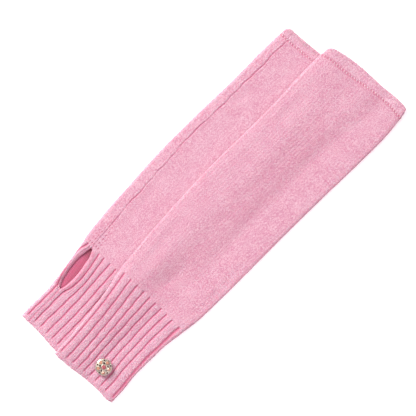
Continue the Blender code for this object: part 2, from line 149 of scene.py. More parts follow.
# How the upper warmer comes down off the under one
drape = {
    # the under warmer is thinner where it is covered, as y and width, and y and share
    "thinWidths": ((0, 30.0), (100, 28.0), (130, 24.0), (170, 28.0), (320, 30.0), (400, 50.0)),
    "thinShares": ((0, 0.5), (100, 0.6), (130, 0.86), (170, 0.64), (300, 0.52), (400, 0.6)),
    "pressShare": 0.13,      # the upper warmer's arm is pressed thinner past the other's side
    "pressWidth": 36.0,
    "pressStart": -28.0,
    "pressFade": 30.0,
    "springStart": 330.0,    # but towards the elbow the open end springs up
    "springLength": 45.0,
    "sagStart": 402.0,
    "sagLength": 20.0,
    "sagShare": 0.8,
    "opened": 0.08,          # painted shade: more of the deep colour where the upper warmer bends down off the under one
    "dropShadeReach": 15.0,
    "dropShadeFrom": 100.0,
    "dropShadeTo": 390.0,
    "dropStart": -5.0,
    "dropWidths": ((0, 22.0), (100, 22.0), (200, 23.0), (300, 20.0), (350, 19.0), (400, 26.0)),
}


def underHeight(x, y):
    thinWidth = curve(drape["thinWidths"], y)
    covered = curve(underShape["right"], y) - thinWidth
    full = loftHeight(y, underShape["ribLine"][0][1], underShape["bandLine"][0][1])
    return full * (1 - curve(drape["thinShares"], y) * ease((x - covered) / thinWidth))


def upperHeight(x, y):
    full = loftHeight(y, upperShape["ribLine"][0][1], float(curve(upperShape["bandLine"], 0.5)))
    pressed = drape["pressShare"] * ease((y - upperShape["ribLine"][0][1]) / drape["pressFade"])
    pressed = pressed * (1 - 2 * ease((y - drape["springStart"]) / drape["springLength"]))
    past = x - curve(underShape["right"], y) - drape["pressStart"]
    return full * (1 - pressed * ease(past / drape["pressWidth"]))


def onSurface(x, y):
    return np.zeros_like(x)


def onUnderWarmer(x, y):
    edge = curve(underShape["right"], y)
    carried = underHeight(np.minimum(x, edge), y) + cloth["restGap"]
    carried = carried * (1 - drape["sagShare"] * ease((y - drape["sagStart"]) / drape["sagLength"]))
    return carried * (1 - ease((x - edge - drape["dropStart"]) / curve(drape["dropWidths"], y)))


def dropShadeOverWarmer(x, y):
    # painted shade on the slope where the upper warmer comes down past the under one's side
    pastRib = ease((y - drape["dropShadeFrom"]) / 20) * ease((drape["dropShadeTo"] - y) / 60)
    return drape["opened"] * bump((x - curve(underShape["right"], y) + 2) / drape["dropShadeReach"]) * pastRib


underShape.update(height=underHeight, rest=onSurface, opened=onSurface)
upperShape.update(height=upperHeight, rest=onUnderWarmer, opened=dropShadeOverWarmer)
stretches = {             # each lies between two lines across
    "rib": ("handEdge", "ribLine"),
    "arm": ("ribLine", "bandLine"),
    "band": ("bandLine", "elbowEdge"),
}


# Soft troughs on top of each warmer and under it: from x, y to x, y, spread, depth
creases = {
    "underTop": ((-50, 130, -56, 210, 5.0, 0.25), (-40, 190, -46, 290, 7.0, 0.2),
                 (-60, 300, -44, 345, 5.0, 0.22), (-38, 330, -34, 384, 5.0, 0.2),
                 (-30, 112, -36, 150, 4.0, 0.2)),
    "underBelow": ((-40, 140, -52, 230, 6.0, 0.3), (0, 180, -8, 300, 7.0, 0.25),
                   (-55, 270, -40, 350, 5.0, 0.3)),
    "upperTop": ((17, 108, 25, 152, 7.0, 0.5), (-8, 118, -14, 190, 5.0, 0.2), (2, 215, -4, 300, 7.0, 0.22),
                 (40, 190, 34, 262, 6.0, 0.2), (56, 230, 60, 330, 5.0, 0.25), (-12, 318, -4, 390, 5.0, 0.25),
                 (26, 330, 38, 392, 7.0, 0.2), (64, 130, 62, 200, 4.0, 0.22)),
    "upperBelow": ((50, 120, 56, 230, 6.0, 0.3), (44, 260, 58, 360, 6.0, 0.3), (60, 330, 50, 396, 4.0, 0.2)),
}


def creaseDepth(name, x, y):
    depth = np.zeros(np.broadcast(x, y).shape)
    for x0, y0, x1, y1, spread, deep in creases[name]:
        length = np.hypot(x1 - x0, y1 - y0)
        share = np.clip(((x - x0) * (x1 - x0) + (y - y0) * (y1 - y0)) / length ** 2, 0.0, 1.0)
        away = np.hypot(x - x0 - share * (x1 - x0), y - y0 - share * (y1 - y0))
        depth = depth + deep * bump(away / spread) * (0.4 + 0.6 * np.sin(pi * share))
    return depth


def along(warmer, kind, s, u):
    low, high = stretches[kind]
    return curve(warmer[low], u) * (1 - s) + curve(warmer[high], u) * s


def rowFolds(warmer, kind, s):
    left = curve(warmer["left"], along(warmer, kind, s, 0.0))
    right = curve(warmer["right"], along(warmer, kind, s, 1.0))
    return left, right


def stretchLength(warmer, kind, u):
    return float(along(warmer, kind, 1.0, u) - along(warmer, kind, 0.0, u))


def quarterLength(reach):
    return reach * 1.47      # the side fold's quarter turn, a little taller than it is wide


def arcOf(inset, width, reach):
    # distance along the cloth from the side fold, for a distance straight across
    quarter = quarterLength(reach)
    near = np.minimum(inset, width - inset)
    turning = np.arccos(np.clip(1 - near / reach, 0.0, 1.0)) / (pi / 2) * quarter
    arc = np.where(near < reach, turning, near - reach + quarter)
    return np.where(inset <= width / 2, arc, sideLength(width, reach) - arc)


def sideLength(width, reach):
    return width - 2 * reach + 2 * quarterLength(reach)


def ringPoints(warmer, kind, s, around, depth=0.0, dy=0.0, inner=False):
    # around is the distance round the ring: from the left fold along the palm side, back along
    # the other side, and on along the palm side again
    inset = cloth["foldWall"] if inner else 0.0
    reach = cloth["hollowReach"] if inner else cloth["foldReach"]
    quarter = quarterLength(reach)
    left, right = rowFolds(warmer, kind, s)
    outerWidth = right - left
    width = outerWidth - 2 * inset
    side = sideLength(width, reach)
    back = (around > side) & (around < 2 * side)
    arc = np.where(back, 2 * side - around, np.where(around >= 2 * side, around - 2 * side, around))
    face = np.where(back, -warmer["palm"], warmer["palm"])
    near = np.minimum(arc, side - arc)
    angle = np.clip(near / quarter, 0.0, 1.0) * pi / 2
    turning = near < quarter
    nearInset = np.where(turning, reach * (1 - np.cos(angle)), reach + near - quarter)
    onLeft = arc <= side / 2
    across = inset + np.where(onLeft, nearInset, width - nearInset)
    rise = np.where(turning, np.sin(angle), 1.0)
    outward = np.where(turning, np.cos(angle), 0.0) * np.where(onLeft, -1.0, 1.0)
    u = across / outerWidth
    y = along(warmer, kind, s, u) + dy
    x = left + across
    height = warmer["height"](x, y)
    loft = cloth["loft"] * bump((across - cloth["loftPlace"]) / cloth["loftSpread"])
    lift = np.where((face > 0) & onLeft, loft, 0.0)
    if inner:
        half = height * cloth["hollowShare"] / 2
        middle = height * cloth["lowerShare"][kind] + half
    else:
        half = height / 2
        middle = half
        thin = cloth["farThin"] * ease(1 - (outerWidth - across) / cloth["farReach"]) * rise
        thin = thin + warmer["nearThin"] * ease(1 - across / cloth["nearReach"]) * rise
        lift = lift - np.where(face > 0, endDrop(warmer, kind, s, u) + thin, 0.0)
        crease = np.where(face > 0, creaseDepth(warmer["top"], x, y), creaseDepth(warmer["below"], x, y))
        depth = depth + crease * cloth["ribHeight"] / height
    z = warmer["rest"](x, y) + middle + face * half * rise + lift
    share = height / cloth["ribHeight"]
    x = x - depth * outward * share
    z = z - depth * face * rise * share
    return np.stack(np.broadcast_arrays(x, y, np.maximum(z, 0.0)), axis=-1)


def endDrop(warmer, kind, s, u):
    # free edges are rounded, and the band is linked on in a narrow trough
    low, high = stretches[kind]
    length = curve(warmer[high], u) - curve(warmer[low], u)
    fromLow = s * length
    fromHigh = (1 - s) * length
    if kind == "rib":
        return cloth["edgeDrop"] * (1 - quarterRound(fromLow / cloth["edgeReach"]))
    fromLink = fromLow if kind == "band" else fromHigh
    linked = bandKnit["linkDepth"] * (1 - ease(fromLink / bandKnit["linkReach"]))
    if kind == "band":
        return linked + cloth["edgeDrop"] * (1 - quarterRound(fromHigh / cloth["edgeReach"]))
    return linked


# Where the panel's two edges are sewn up, on the palm side
seam = {
    "under": ((100, -58.8), (120, -59.5), (150, -61.5), (200, -63.0), (250, -64.5), (280, -63.5),
              (320, -62.0), (360, -61.0), (402, -60.8)),            # y, x
    "upper": ((0, 9.5), (120, 12.3), (250, 10.5), (400, 9.4)),      # y, distance from the side fold
    "stitch": 4.74,          # mm, the sewing draws it in at each one
    "pull": 0.25,
    "fading": 0.35,          # and more here than there
    "beside": 0.4,           # wales, a column close to it on either side
    "depth": 0.22,
    "reach": 0.6,
    "wander": 0.35,          # it waves a little, beyond the slit
    "wanderReach": 7.0,
    "wanderStart": 120.0,
    "wanderFade": 60.0,
    "welt": 0.15,
    "weltPlace": 2.0,
    "weltReach": 1.3,
    "holeReach": 7.2,        # above the slit the stitches beside it are drawn open into small holes
    "holeFade": 2.5,
    "holeEnd": 150.0,
    "holeEndFade": 40.0,
    "holeDepth": 0.5,
    # painted shade in the holes
    "holeShade": 2.2,
    "holeShare": 0.6,        # the seam itself is fainter between them
    "bandShare": 0.4,        # and the band's seam is fainter
}


def seamPlace(warmer, y):
    # distance of the seam from the side fold, straight across
    if warmer["palm"] > 0:
        return curve(seam["under"], y) - curve(warmer["left"], y)
    return curve(seam["upper"], y)


# One V stitch: depth under the yarn's crest at the wale's edge, leg, middle and other leg
stitchDepths = {
    "knit": ((0.95, 0.0, 0.5, 0.0), (1.05, 0.45, 0.9, 0.45)),
    "band": ((1.0, 0.15, 0.0, 0.15), (1.0, 0.25, 0.1, 0.25)),
}
middleDepth = 0.55           # of a stitch, where plain stretches lie
chevron = 0.9                # how far the V opens, in courses
uneven = {"row": 0.1, "stitch": 0.05, "yarn": 0.04}   # mm, hand-fed yarn and washing


def stitchRelief(name, phase, crest, fade):
    crestRow, valleyRow = np.array(stitchDepths[name])
    relief = np.where(crest, crestRow[phase], valleyRow[phase])
    return middleDepth + (relief - middleDepth) * fade


def unevenYarn(seed, rows, columns):
    # every stitch is pulled a little tighter or looser than its neighbours
    dice = np.random.default_rng(seed)
    stitches = dice.normal(0, uneven["stitch"], (rows // 2 + 1, columns // 4 + 1))
    loose = stitches.repeat(2, axis=0).repeat(4, axis=1)[:rows, :columns]
    return loose + dice.normal(0, uneven["yarn"], (rows, columns)), dice.normal(0, uneven["row"], (rows, 1))


def courseRows(length, course, first, last):
    # distances along a stretch: a valley and a crest for each course between its end rows
    spare = 0.4
    start = first[-1] + spare
    end = last[0] - spare
    count = int(round((end - start) / course)) * 2
    distances = np.concatenate([first, np.linspace(start, end, count + 1), last])
    number = np.arange(len(distances)) - len(first)
    crest = (number % 2 == 1) & (number > 0) & (number < count)
    return distances[:, None], crest[:, None], number[:, None] / 2.0


armKnit = {
    "wales": 66,             # all round, 3.1 mm each
    "course": 2.45,
    "stitchDepth": 0.31,
    "seed": 12,
}

bandKnit = {
    "wales": 70,
    "course": 2.2,
    "stitchDepth": 0.22,
    "linkDepth": 0.5,
    "linkReach": 1.3,
    # painted shade along the linking trough
    "linkShade": 0.6,
    "seed": 31,
}


def plainStretch(warmer, kind, knit, first, last):
    # rows and columns of plain knit all round an arm or a band
    isBand = kind == "band"
    length = stretchLength(warmer, kind, 0.5)
    distances, crest, course = courseRows(length, knit["course"], first, [length - d for d in last])
    s = distances / length
    left, right = rowFolds(warmer, kind, s)
    width = right - left
    side = sideLength(width, cloth["foldReach"])
    y = along(warmer, kind, s, slit["share"])
    start = arcOf(seamPlace(warmer, y), width, cloth["foldReach"])
    count = 4 * knit["wales"]
    columns = np.concatenate([[0.0, seam["beside"]], np.arange(1, count), [count - seam["beside"]]])
    around = start + 2 * side * columns[None, :] / count
    phase = np.broadcast_to(np.where(columns % 1 > 0, 0, columns % 4).astype(int), around.shape)
    fade = easeBetween(distances, 0.2, length - 0.2, 1.2)
    loose, waver = unevenYarn(knit["seed"], *around.shape)
    toSeam = start + 2 * side - around
    fromSeam = np.minimum(around - start, toSeam)
    swing = np.sin(y / 3.3 + np.sin(y / 17)) + np.sin(y / 8.7 + 1.5 * np.sin(y / 29))
    swing = seam["wander"] * swing * ease((y - seam["wanderStart"]) / seam["wanderFade"])
    around = around + swing * bump(fromSeam / seam["wanderReach"])
    opened = ease((seam["holeEnd"] - y) / seam["holeEndFade"]) * (not isBand)
    hole = opened * ease((seam["holeReach"] - fromSeam) / seam["holeFade"])
    hole = hole * (columns % 4 == 0) * (crest & (course % 2 < 1))
    relief = stitchRelief("band" if isBand else "knit", phase, crest, fade)
    shut = 1 - seam["pull"] * (1 - np.sin(2 * pi * distances / seam["stitch"]))
    shut = shut * (1 - seam["fading"] * (1 - np.sin(y / 9 + 2 * np.sin(y / 23))))
    shut = shut * (seam["bandShare"] if isBand else 1 - seam["holeShare"] * opened)
    trough = bump(fromSeam / seam["reach"]) * shut
    welt = bump((toSeam - seam["weltPlace"]) / seam["weltReach"]) * seam["welt"]
    depth = knit["stitchDepth"] * relief + loose * fade
    depth = depth + seam["depth"] * trough - welt + seam["holeDepth"] * hole
    spread = 0.0 if isBand else chevron
    shift = ((np.abs(phase - 2) / 2 - 0.5) * spread * knit["course"] + waver) * fade
    fromLink = distances if isBand else length - distances
    linkShade = bandKnit["linkShade"] * bump(fromLink / bandKnit["linkReach"])
    flat = 0.0 * around
    # painted shade in the seam's trough, in the holes beside it and along the linking trough
    return {"s": s, "side": side, "around": around, "depth": depth, "shift": shift,
            "hollow": trough + seam["holeShade"] * hole + linkShade,
            "wale": columns[None, :] / 4.0 + flat, "course": course + flat}


# Thumb slit: distance from the hand edge, left lip and right lip from the side fold
slit = {
    "lips": ((45.5, 8.3, 10.2), (50, 6.6, 12.2), (55, 5.3, 13.3), (62, 5.0, 14.6), (70, 5.0, 15.3),
             (80, 5.9, 15.1), (90, 8.9, 14.5), (96, 11.0, 12.4)),
    "share": 0.1,            # of the width, where distances along it are measured
    "roll": 0.45,            # the lips bulge into the slit
    "round": 2.2,
    "roundDepth": 0.9,
    "puff": 0.35,            # the tubular edge stands up round the slit
    "puffPlace": 2.2,
    "puffReach": 1.5,
    "dip": 1.4,              # and the outer lip curls down into it
    "dipReach": 3.6,
    "lipShade": 0.45,         # painted shade, a deeper pink beside the inner lip and less far beside the outer one
    "lipReach": 5.0,
    "seamDepth": 0.35,       # of the short seam below the slit
    # painted shade in the short seam below the slit
    "seamShade": 0.4,
}

# Purl grooves as shares of the width: at the stations, and in pairs of y and share round the slit
ribKnit = {
    "stations": (3, 50, 99),
    "besideRightLip": (
        ((3, 0.186), (24, 0.180), (37, 0.178), (47, 0.198), (54, 0.233), (67, 0.256), (81, 0.252),
         (99, 0.232)),
        ((3, 0.288), (37, 0.296), (45, 0.302), (61, 0.326), (80, 0.322), (99, 0.308)),
    ),
    "palm": ((0.401, 0.402, 0.402), (0.504, 0.504, 0.492), (0.611, 0.600, 0.570), (0.713, 0.700, 0.665),
             (0.820, 0.805, 0.770), (0.925, 0.910, 0.875)),
    "back": ((0.046, 0.058, 0.067), (0.161, 0.167, 0.169), (0.266, 0.268, 0.265), (0.359, 0.365, 0.366),
             (0.446, 0.452, 0.460), (0.543, 0.544, 0.549), (0.644, 0.638, 0.638), (0.742, 0.733, 0.727),
             (0.830, 0.829, 0.817)),
    "backAtFold": ((3, 0.963), (21, 0.961), (41, 0.957), (61, 0.945), (79, 0.951), (94, 0.936), (99, 0.931)),
    # the last groove is given as its distance from the left lip, in mm
    "besideLeftLip": ((3, 3.6), (31, 3.9), (52, 3.0), (62, 4.0), (75, 6.0), (88, 6.6), (96, 5.5), (103, 4.6)),
    "grooveHalf": 0.6,
    "grooveDepth": 0.95,
    "wideDepth": 1.15,       # times as deep where a groove is pulled wide
    "purlBump": 0.2,
    "wander": 0.13,          # the grooves waver a little
    "crown": 0.4,
    "wales": 3,              # knit wales on a rib, 2.1 mm each
    "course": 2.3,
    "stitchDepth": 0.34,
    "plainEdge": 2.0,
    "fade": 3.0,
    "scallop": 0.8,          # each rib's end swells past the hand edge
    "grooveSideShade": 0.6,         # painted shade beside its grooves, and a painted highlight on its crown
    "crownHighlight": -0.15,
}


def ribColumns():
    # the panel's columns from the slit's right lip round to its left lip: which two keys each
    # lies between, how far, its phase in its wale and its wale's number; a groove has phase -1
    ribs = [2] + [ribKnit["wales"]] * (len(ribKnit["palm"]) + 1) + [ribKnit["wales"] + 1]
    ribs += [ribKnit["wales"]] * len(ribKnit["back"]) + [ribKnit["wales"], 2]
    columns = []
    wale = 0.0
    for key, wales in enumerate(ribs):
        for k in range(4 * wales + 1):
            columns.append((key, k / (4 * wales), k % 4, wale + k / 4))
        wale += wales
        if key < len(ribs) - 1:
            columns.append((key + 1, 0.0, -1, wale + 0.5))
            wale += 1.0
    return np.array(columns)


def grooveTables(face):
    return [tuple(zip(ribKnit["stations"], shares)) for shares in ribKnit[face]]


def ribStretch(warmer):
    # rows and columns of a rib, from lip to lip of its slit
    length = stretchLength(warmer, "rib", slit["share"])
    distances, crest, course = courseRows(length, ribKnit["course"], [0.0, 0.3, 0.8, 1.4], [length])
    s = distances / length
    left, right = rowFolds(warmer, "rib", s)
    width = right - left
    reach = cloth["foldReach"]
    side = sideLength(width, reach)
    lips = [curve(slit["lips"], distances, column) for column in (1, 2)]
    leftLip, rightLip = (arcOf(lip, width, reach) for lip in lips)
    keys = [rightLip]
    for table in (*ribKnit["besideRightLip"], *grooveTables("palm")):
        keys.append(arcOf(curve(table, distances) * width, width, reach))
    for table in (ribKnit["backAtFold"], *reversed(grooveTables("back"))):
        keys.append(2 * side - arcOf(curve(table, distances) * width, width, reach))
    keys.append(2 * side + leftLip - curve(ribKnit["besideLeftLip"], distances))
    keys.append(2 * side + leftLip)
    dice = np.random.default_rng(5 + warmer["palm"])
    for key in range(1, len(keys) - 1):
        for waveLength in (14.0, 23.0, 41.0):
            swing = np.sin(2 * pi * (distances / waveLength + dice.random()))
            keys[key] = keys[key] + swing * ribKnit["wander"] * dice.normal(0, 0.6)
    keys = np.concatenate(keys, axis=1)
    columns = ribColumns()
    key = columns[:, 0].astype(int)
    share = columns[:, 1]
    phase = columns[:, 2].astype(int)
    groove = phase < 0
    knitPhase = np.maximum(phase, 0)
    lastKey = keys.shape[1] - 1
    half = np.full(lastKey + 2, ribKnit["grooveHalf"])
    deep = np.full(lastKey + 2, 1.0)
    for wide, scale in warmer["wideGrooves"].items():
        half[wide] *= scale
        deep[wide] *= ribKnit["wideDepth"]
    half[[0, lastKey]] = 0.0
    low = keys[:, key] + half[key]
    high = keys[:, np.minimum(key + 1, lastKey)] - half[key + 1]
    around = np.where(groove, keys[:, key], low + (high - low) * share)
    fade = easeBetween(distances, ribKnit["plainEdge"], length + 0.6, ribKnit["fade"])
    stitchFade = easeBetween(distances, 0.6, length, 1.5)
    relief = stitchRelief("knit", knitPhase, crest, stitchFade)
    edgeOfRib = np.abs(2 * share - 1) ** 3
    # the half ribs beside the slit have no groove at the lip
    lipSide = ((key == 0) & (share < 0.5)) | ((key == lastKey - 1) & (share > 0.5))
    edgeOfRib = np.where(lipSide, 0.0, edgeOfRib)
    loose, waver = unevenYarn(5 + warmer["palm"], *around.shape)
    purl = ribKnit["grooveDepth"] * deep[key] - ribKnit["purlBump"] * crest
    plain = ribKnit["crown"] * edgeOfRib * fade + ribKnit["stitchDepth"] * relief
    depth = np.where(groove, purl * fade + ribKnit["purlBump"], plain) + loose * stitchFade
    slitEnds = [slit["lips"][0][0], slit["lips"][-1][0]]
    inSlit = easeBetween(distances, slitEnds[0] - 1, slitEnds[1] + 1, 2.0)
    fromRight = around - rightLip
    fromLeft = 2 * side + leftLip - around
    rounded = 1 - quarterRound(np.minimum(fromRight, fromLeft) / slit["round"])
    depth = depth + slit["roundDepth"] * inSlit * rounded
    depth = depth - slit["puff"] * inSlit * bump((fromRight - slit["puffPlace"]) / slit["puffReach"])
    depth = depth + slit["dip"] * inSlit * bump(fromLeft / slit["dipReach"])
    shift = (np.abs(knitPhase - 2) / 2 - 0.5) * chevron * ribKnit["course"] * stitchFade
    shift = np.where(groove, 0.5 * chevron * ribKnit["course"] * stitchFade, shift) + waver * stitchFade
    swell = np.where(groove, 0.0, 1 - edgeOfRib ** 2) * (1 - ease(distances / 3.0))
    shift = shift - ribKnit["scallop"] * (swell - 0.3)
    # painted shade beside the grooves, in them and round the slit's lips, and a painted highlight on the
    # crowns
    besideGroove = np.abs(2 * share - 1) ** 5 * np.where(lipSide, 0.0, 1.0) * fade
    hollow = ribKnit["grooveSideShade"] * besideGroove + ribKnit["crownHighlight"]
    nearLipShade = bump(np.minimum(fromRight, 1.6 * fromLeft) / slit["lipReach"])
    hollow = np.where(groove, fade, hollow + slit["lipShade"] * inSlit * nearLipShade)
    # the seam line's column, between the lips, comes first
    middle = (leftLip + rightLip) / 2
    flat = 0.0 * middle
    ring = {"around": (middle, around), "shift": (flat, shift),
            "depth": (slit["seamDepth"] + flat, depth), "hollow": (slit["seamShade"] + flat, hollow),
            "wale": (flat, columns[:, 3] + 0.0 * around), "course": (course + flat, course + 0.0 * around)}
    ring = {name: np.concatenate(blocks, axis=1) for name, blocks in ring.items()}
    cut = [int(np.argmin(np.abs(distances - end))) for end in slitEnds]
    ring.update(s=s, side=side, lips=lips, distances=distances, cut=cut)
    return ring


def innerRing(warmer, kind, s, count, lips=None):
    # the inside of the tube: an even ring from the right lip or the seam round to the left one
    reach = cloth["hollowReach"]
    wall = cloth["foldWall"]
    left, right = rowFolds(warmer, kind, s)
    width = right - left - 2 * wall
    side = sideLength(width, reach)
    if lips is None:
        start = arcOf(seamPlace(warmer, along(warmer, kind, s, slit["share"])) - wall, width, reach)
        return start + 2 * side * np.arange(count)[None, :] / count
    start = arcOf(lips[1] - wall, width, reach)
    end = 2 * side + arcOf(lips[0] - wall, width, reach)
    return start + (end - start) * np.arange(count)[None, :] / (count - 1)


def ringFaces(base, rows, columns, cut=None, openColumns=()):
    # quads between the rows of a closed ring, leaving out the open columns in the cut rows
    start = base + np.arange(rows - 1)[:, None] * columns
    here = start + np.arange(columns)[None, :]
    beside = start + (np.arange(columns)[None, :] + 1) % columns
    keep = np.ones(here.shape, bool)
    if cut is not None:
        for column in openColumns:
            keep[cut[0]:cut[1], column] = False
    quads = np.stack([here, beside, beside + columns, here + columns], axis=-1)[keep]
    return quads.tolist()


def bridgeRings(ring, ringTurn, other, otherTurn):
    # triangles between two rings with different numbers of points
    faces = []
    i = 0
    j = 0
    while i < len(ring) or j < len(other):
        nextI = ringTurn[i + 1] if i + 1 < len(ring) else 1.0
        nextJ = otherTurn[j + 1] if j + 1 < len(other) else 1.0
        here = ring[i % len(ring)]
        across = other[j % len(other)]
        if j >= len(other) or (i < len(ring) and nextI <= nextJ):
            faces.append((here, ring[(i + 1) % len(ring)], across))
            i += 1
        else:
            faces.append((here, other[(j + 1) % len(other)], across))
            j += 1
    return faces


def rowOf(base, row, columns):
    return list(range(base + row * columns, base + (row + 1) * columns))


def turnsOf(ring, row):
    around = ring["around"][row]
    side = np.broadcast_to(ring["side"], (len(ring["around"]), 1))[row, 0]
    return (around - around[0]) / (2 * side)


def placeMm(points):
    return (points - np.array([pairMiddle[0], pairMiddle[1], 0.0])) * mm


def addObject(name, data):
    thing = bpy.data.objects.new(name, data)
    bpy.context.scene.collection.objects.link(thing)
    return thing


def looseYarn(count, hollow):
    # the values of yarn that isn't knitted: a quarter into its wale and half into its course
    numbers = np.zeros(count)
    return {"hollow": numbers + hollow, "wale": numbers + 0.25, "course": numbers + 0.5}


def knitObject(name, points, faces, values, material):
    mesh = bpy.data.meshes.new(name)
    mesh.from_pydata(placeMm(points).tolist(), [], faces)
    for label, numbers in values.items():
        layer = mesh.attributes.new(label, "FLOAT", "POINT")
        layer.data.foreach_set("value", numbers.astype(np.float32))
    shape = bmesh.new()
    shape.from_mesh(mesh)
    bmesh.ops.delete(shape, geom=[v for v in shape.verts if not v.link_faces], context="VERTS")
    bmesh.ops.recalc_face_normals(shape, faces=shape.faces)
    shape.to_mesh(mesh)
    shape.free()
    mesh.shade_smooth()
    mesh.materials.append(material)
    return addObject(name, mesh)


def addBand(prefix, warmer, wool):
    ring = plainStretch(warmer, "band", bandKnit, [-0.3, 0.0, 0.4], [1.2, 0.6, 0.2, 0.0])
    outer = ringPoints(warmer, "band", ring["s"], ring["around"], ring["depth"], ring["shift"])
    innerS = ring["s"][[0, len(ring["s"]) // 2, -1]]
    innerCount = warmer["innerColumns"]
    inner = ringPoints(warmer, "band", innerS, innerRing(warmer, "band", innerS, innerCount), inner=True)
    rows, columns = ring["around"].shape
    base = rows * columns
    faces = ringFaces(0, rows, columns) + ringFaces(base, len(innerS), innerCount)
    innerTurn = np.arange(innerCount) / innerCount
    for row, innerRow in ((0, 0), (rows - 1, len(innerS) - 1)):
        innerEdge = rowOf(base, innerRow, innerCount)
        faces += bridgeRings(rowOf(0, row, columns), turnsOf(ring, row), innerEdge, innerTurn)
    points = np.concatenate([outer.reshape(-1, 3), inner.reshape(-1, 3)])
    hidden = np.zeros(len(innerS) * innerCount)
    # the band takes a little less painted shade than the arm, which lightens it
    values = {"hollow": np.concatenate([ring["hollow"].ravel() - 0.1, hidden + inside["plain"]]),
              "wale": np.concatenate([ring["wale"].ravel(), hidden]),
              "course": np.concatenate([0.5 + 0.0 * ring["course"].ravel(), hidden])}
    return knitObject(f"{prefix}_elbow_band_knit", points, faces, values, wool)


# Painted shade inside the tube: deepest at the top of the slit, and least beside its outer lip, where painted
# light lifts it
inside = {
    "plain": 0.8,
    "dusk": 1.24,
    "high": 0.5,
    "highStart": 80.0,
    "highLength": 14.0,
    "lit": 0.5,
    "litHigh": 0.1,
    "litReach": 4.0,
    "lips": (0.3, 0.6),      # painted shade on the rolled lips, outer and inner
}


def addTube(prefix, warmer, wool):
    # rib and arm are knitted in one, round from the seam and back to it
    innerCount = warmer["innerColumns"]
    rib = ribStretch(warmer)
    arm = plainStretch(warmer, "arm", armKnit, [0.35], [0.5, 0.0])
    outerRib = ringPoints(warmer, "rib", rib["s"], rib["around"], rib["depth"], rib["shift"])
    outerArm = ringPoints(warmer, "arm", arm["s"], arm["around"], arm["depth"], arm["shift"])
    # painted shade where the upper warmer comes down off the under one
    arm["hollow"] = arm["hollow"] + warmer["opened"](outerArm[..., 0], outerArm[..., 1])
    around = innerRing(warmer, "rib", rib["s"], innerCount, rib["lips"])
    innerRib = ringPoints(warmer, "rib", rib["s"], around, inner=True)
    # inside, the purl side's bumps stand in turn on the courses
    ribCourse = rib["course"][:, :1]
    turn = (np.arange(innerCount)[None, :] + np.floor(ribCourse)) % 2
    innerRib[..., 2] += cloth["purlBump"] * turn * (ribCourse % 1 > 0.25)
    armRows = [*range(2, len(arm["s"]) - 4, 8), len(arm["s"]) - 1]
    innerS = arm["s"][armRows]
    innerArm = ringPoints(warmer, "arm", innerS, innerRing(warmer, "arm", innerS, innerCount), inner=True)
    ribRows, ribCount = rib["around"].shape
    armCount = arm["around"].shape[1]
    armBase = ribRows * ribCount
    innerBase = armBase + len(arm["s"]) * armCount
    innerArmBase = innerBase + ribRows * innerCount
    lipBase = innerArmBase + len(innerS) * innerCount
    cut = rib["cut"]
    leftLip, rightLip = ribCount - 1, 1
    faces = ringFaces(0, ribRows, ribCount, cut, (0, leftLip))
    faces += bridgeRings(rowOf(0, ribRows - 1, ribCount), turnsOf(rib, ribRows - 1),
                         rowOf(armBase, 0, armCount), turnsOf(arm, 0))
    faces += ringFaces(armBase, len(arm["s"]), armCount)
    faces += ringFaces(innerBase, ribRows, innerCount, cut, (innerCount - 1,))
    faces += ringFaces(innerArmBase - innerCount, len(innerS) + 1, innerCount)
    # rolled lips between the outside and the inside
    rolls = []
    for k in range(cut[0], cut[1] + 1):
        rolled = slit["roll"] * easeBetween(k, cut[0], cut[1], 3)
        for outerColumn, innerColumn, way in ((leftLip, innerCount - 1, 1), (rightLip, 0, -1)):
            point = (outerRib[k, outerColumn] + innerRib[k, innerColumn]) / 2
            rolls.append(point + np.array([way * rolled, 0.0, 0.0]))
    for k in range(cut[0], cut[1]):
        for side, (outerColumn, innerColumn) in enumerate(((leftLip, innerCount - 1), (rightLip, 0))):
            roll = lipBase + (k - cut[0]) * 2 + side
            a = k * ribCount + outerColumn
            b = innerBase + k * innerCount + innerColumn
            faces.append((a, a + ribCount, roll + 2, roll))
            faces.append((roll, roll + 2, b + innerCount, b))
    for k in cut:
        roll = lipBase + (k - cut[0]) * 2
        a = k * ribCount
        b = innerBase + k * innerCount
        faces.append((a + leftLip, a, a + rightLip, roll + 1, b, b + innerCount - 1, roll))
    innerTurn = np.arange(innerCount) / innerCount
    faces += bridgeRings(rowOf(0, 0, ribCount), turnsOf(rib, 0), rowOf(innerBase, 0, innerCount), innerTurn)
    lastRow = len(arm["s"]) - 1
    faces += bridgeRings(rowOf(armBase, lastRow, armCount), turnsOf(arm, lastRow),
                         rowOf(innerArmBase, len(innerS) - 1, innerCount), innerTurn)
    points = [outerRib, outerArm, innerRib, innerArm, np.array(rolls)]
    points = np.concatenate([block.reshape(-1, 3) for block in points])
    # painted shade inside the slit, darker towards its top and lifted by painted light beside the outer lip
    ribSide = np.repeat(rib["distances"], innerCount, axis=1)
    left = rowFolds(warmer, "rib", rib["s"])[0]
    fromLip = innerRib[..., 0] - left - rib["lips"][0]
    high = ease((ribSide - inside["highStart"]) / inside["highLength"])
    lit = inside["lit"] + (inside["litHigh"] - inside["lit"]) * high
    dusk = inside["dusk"] + inside["high"] * high - lit * bump(fromLip / inside["litReach"])
    innerWales = np.arange(innerCount)[None, :] / 2.0
    hidden = np.zeros(len(innerS) * innerCount)
    lips = np.tile(inside["lips"], len(rolls) // 2)
    values = {
        "hollow": [rib["hollow"], arm["hollow"], dusk, hidden + inside["plain"], lips],
        "wale": [rib["wale"], arm["wale"], innerWales + 0.0 * dusk, hidden, lips],
        "course": [rib["course"], arm["course"], ribSide / ribKnit["course"] + innerWales % 1, hidden, lips],
    }
    values = {name: np.concatenate([block.ravel() for block in blocks]) for name, blocks in values.items()}
    return knitObject(f"{prefix}_tube_knit", points, faces, values, wool)


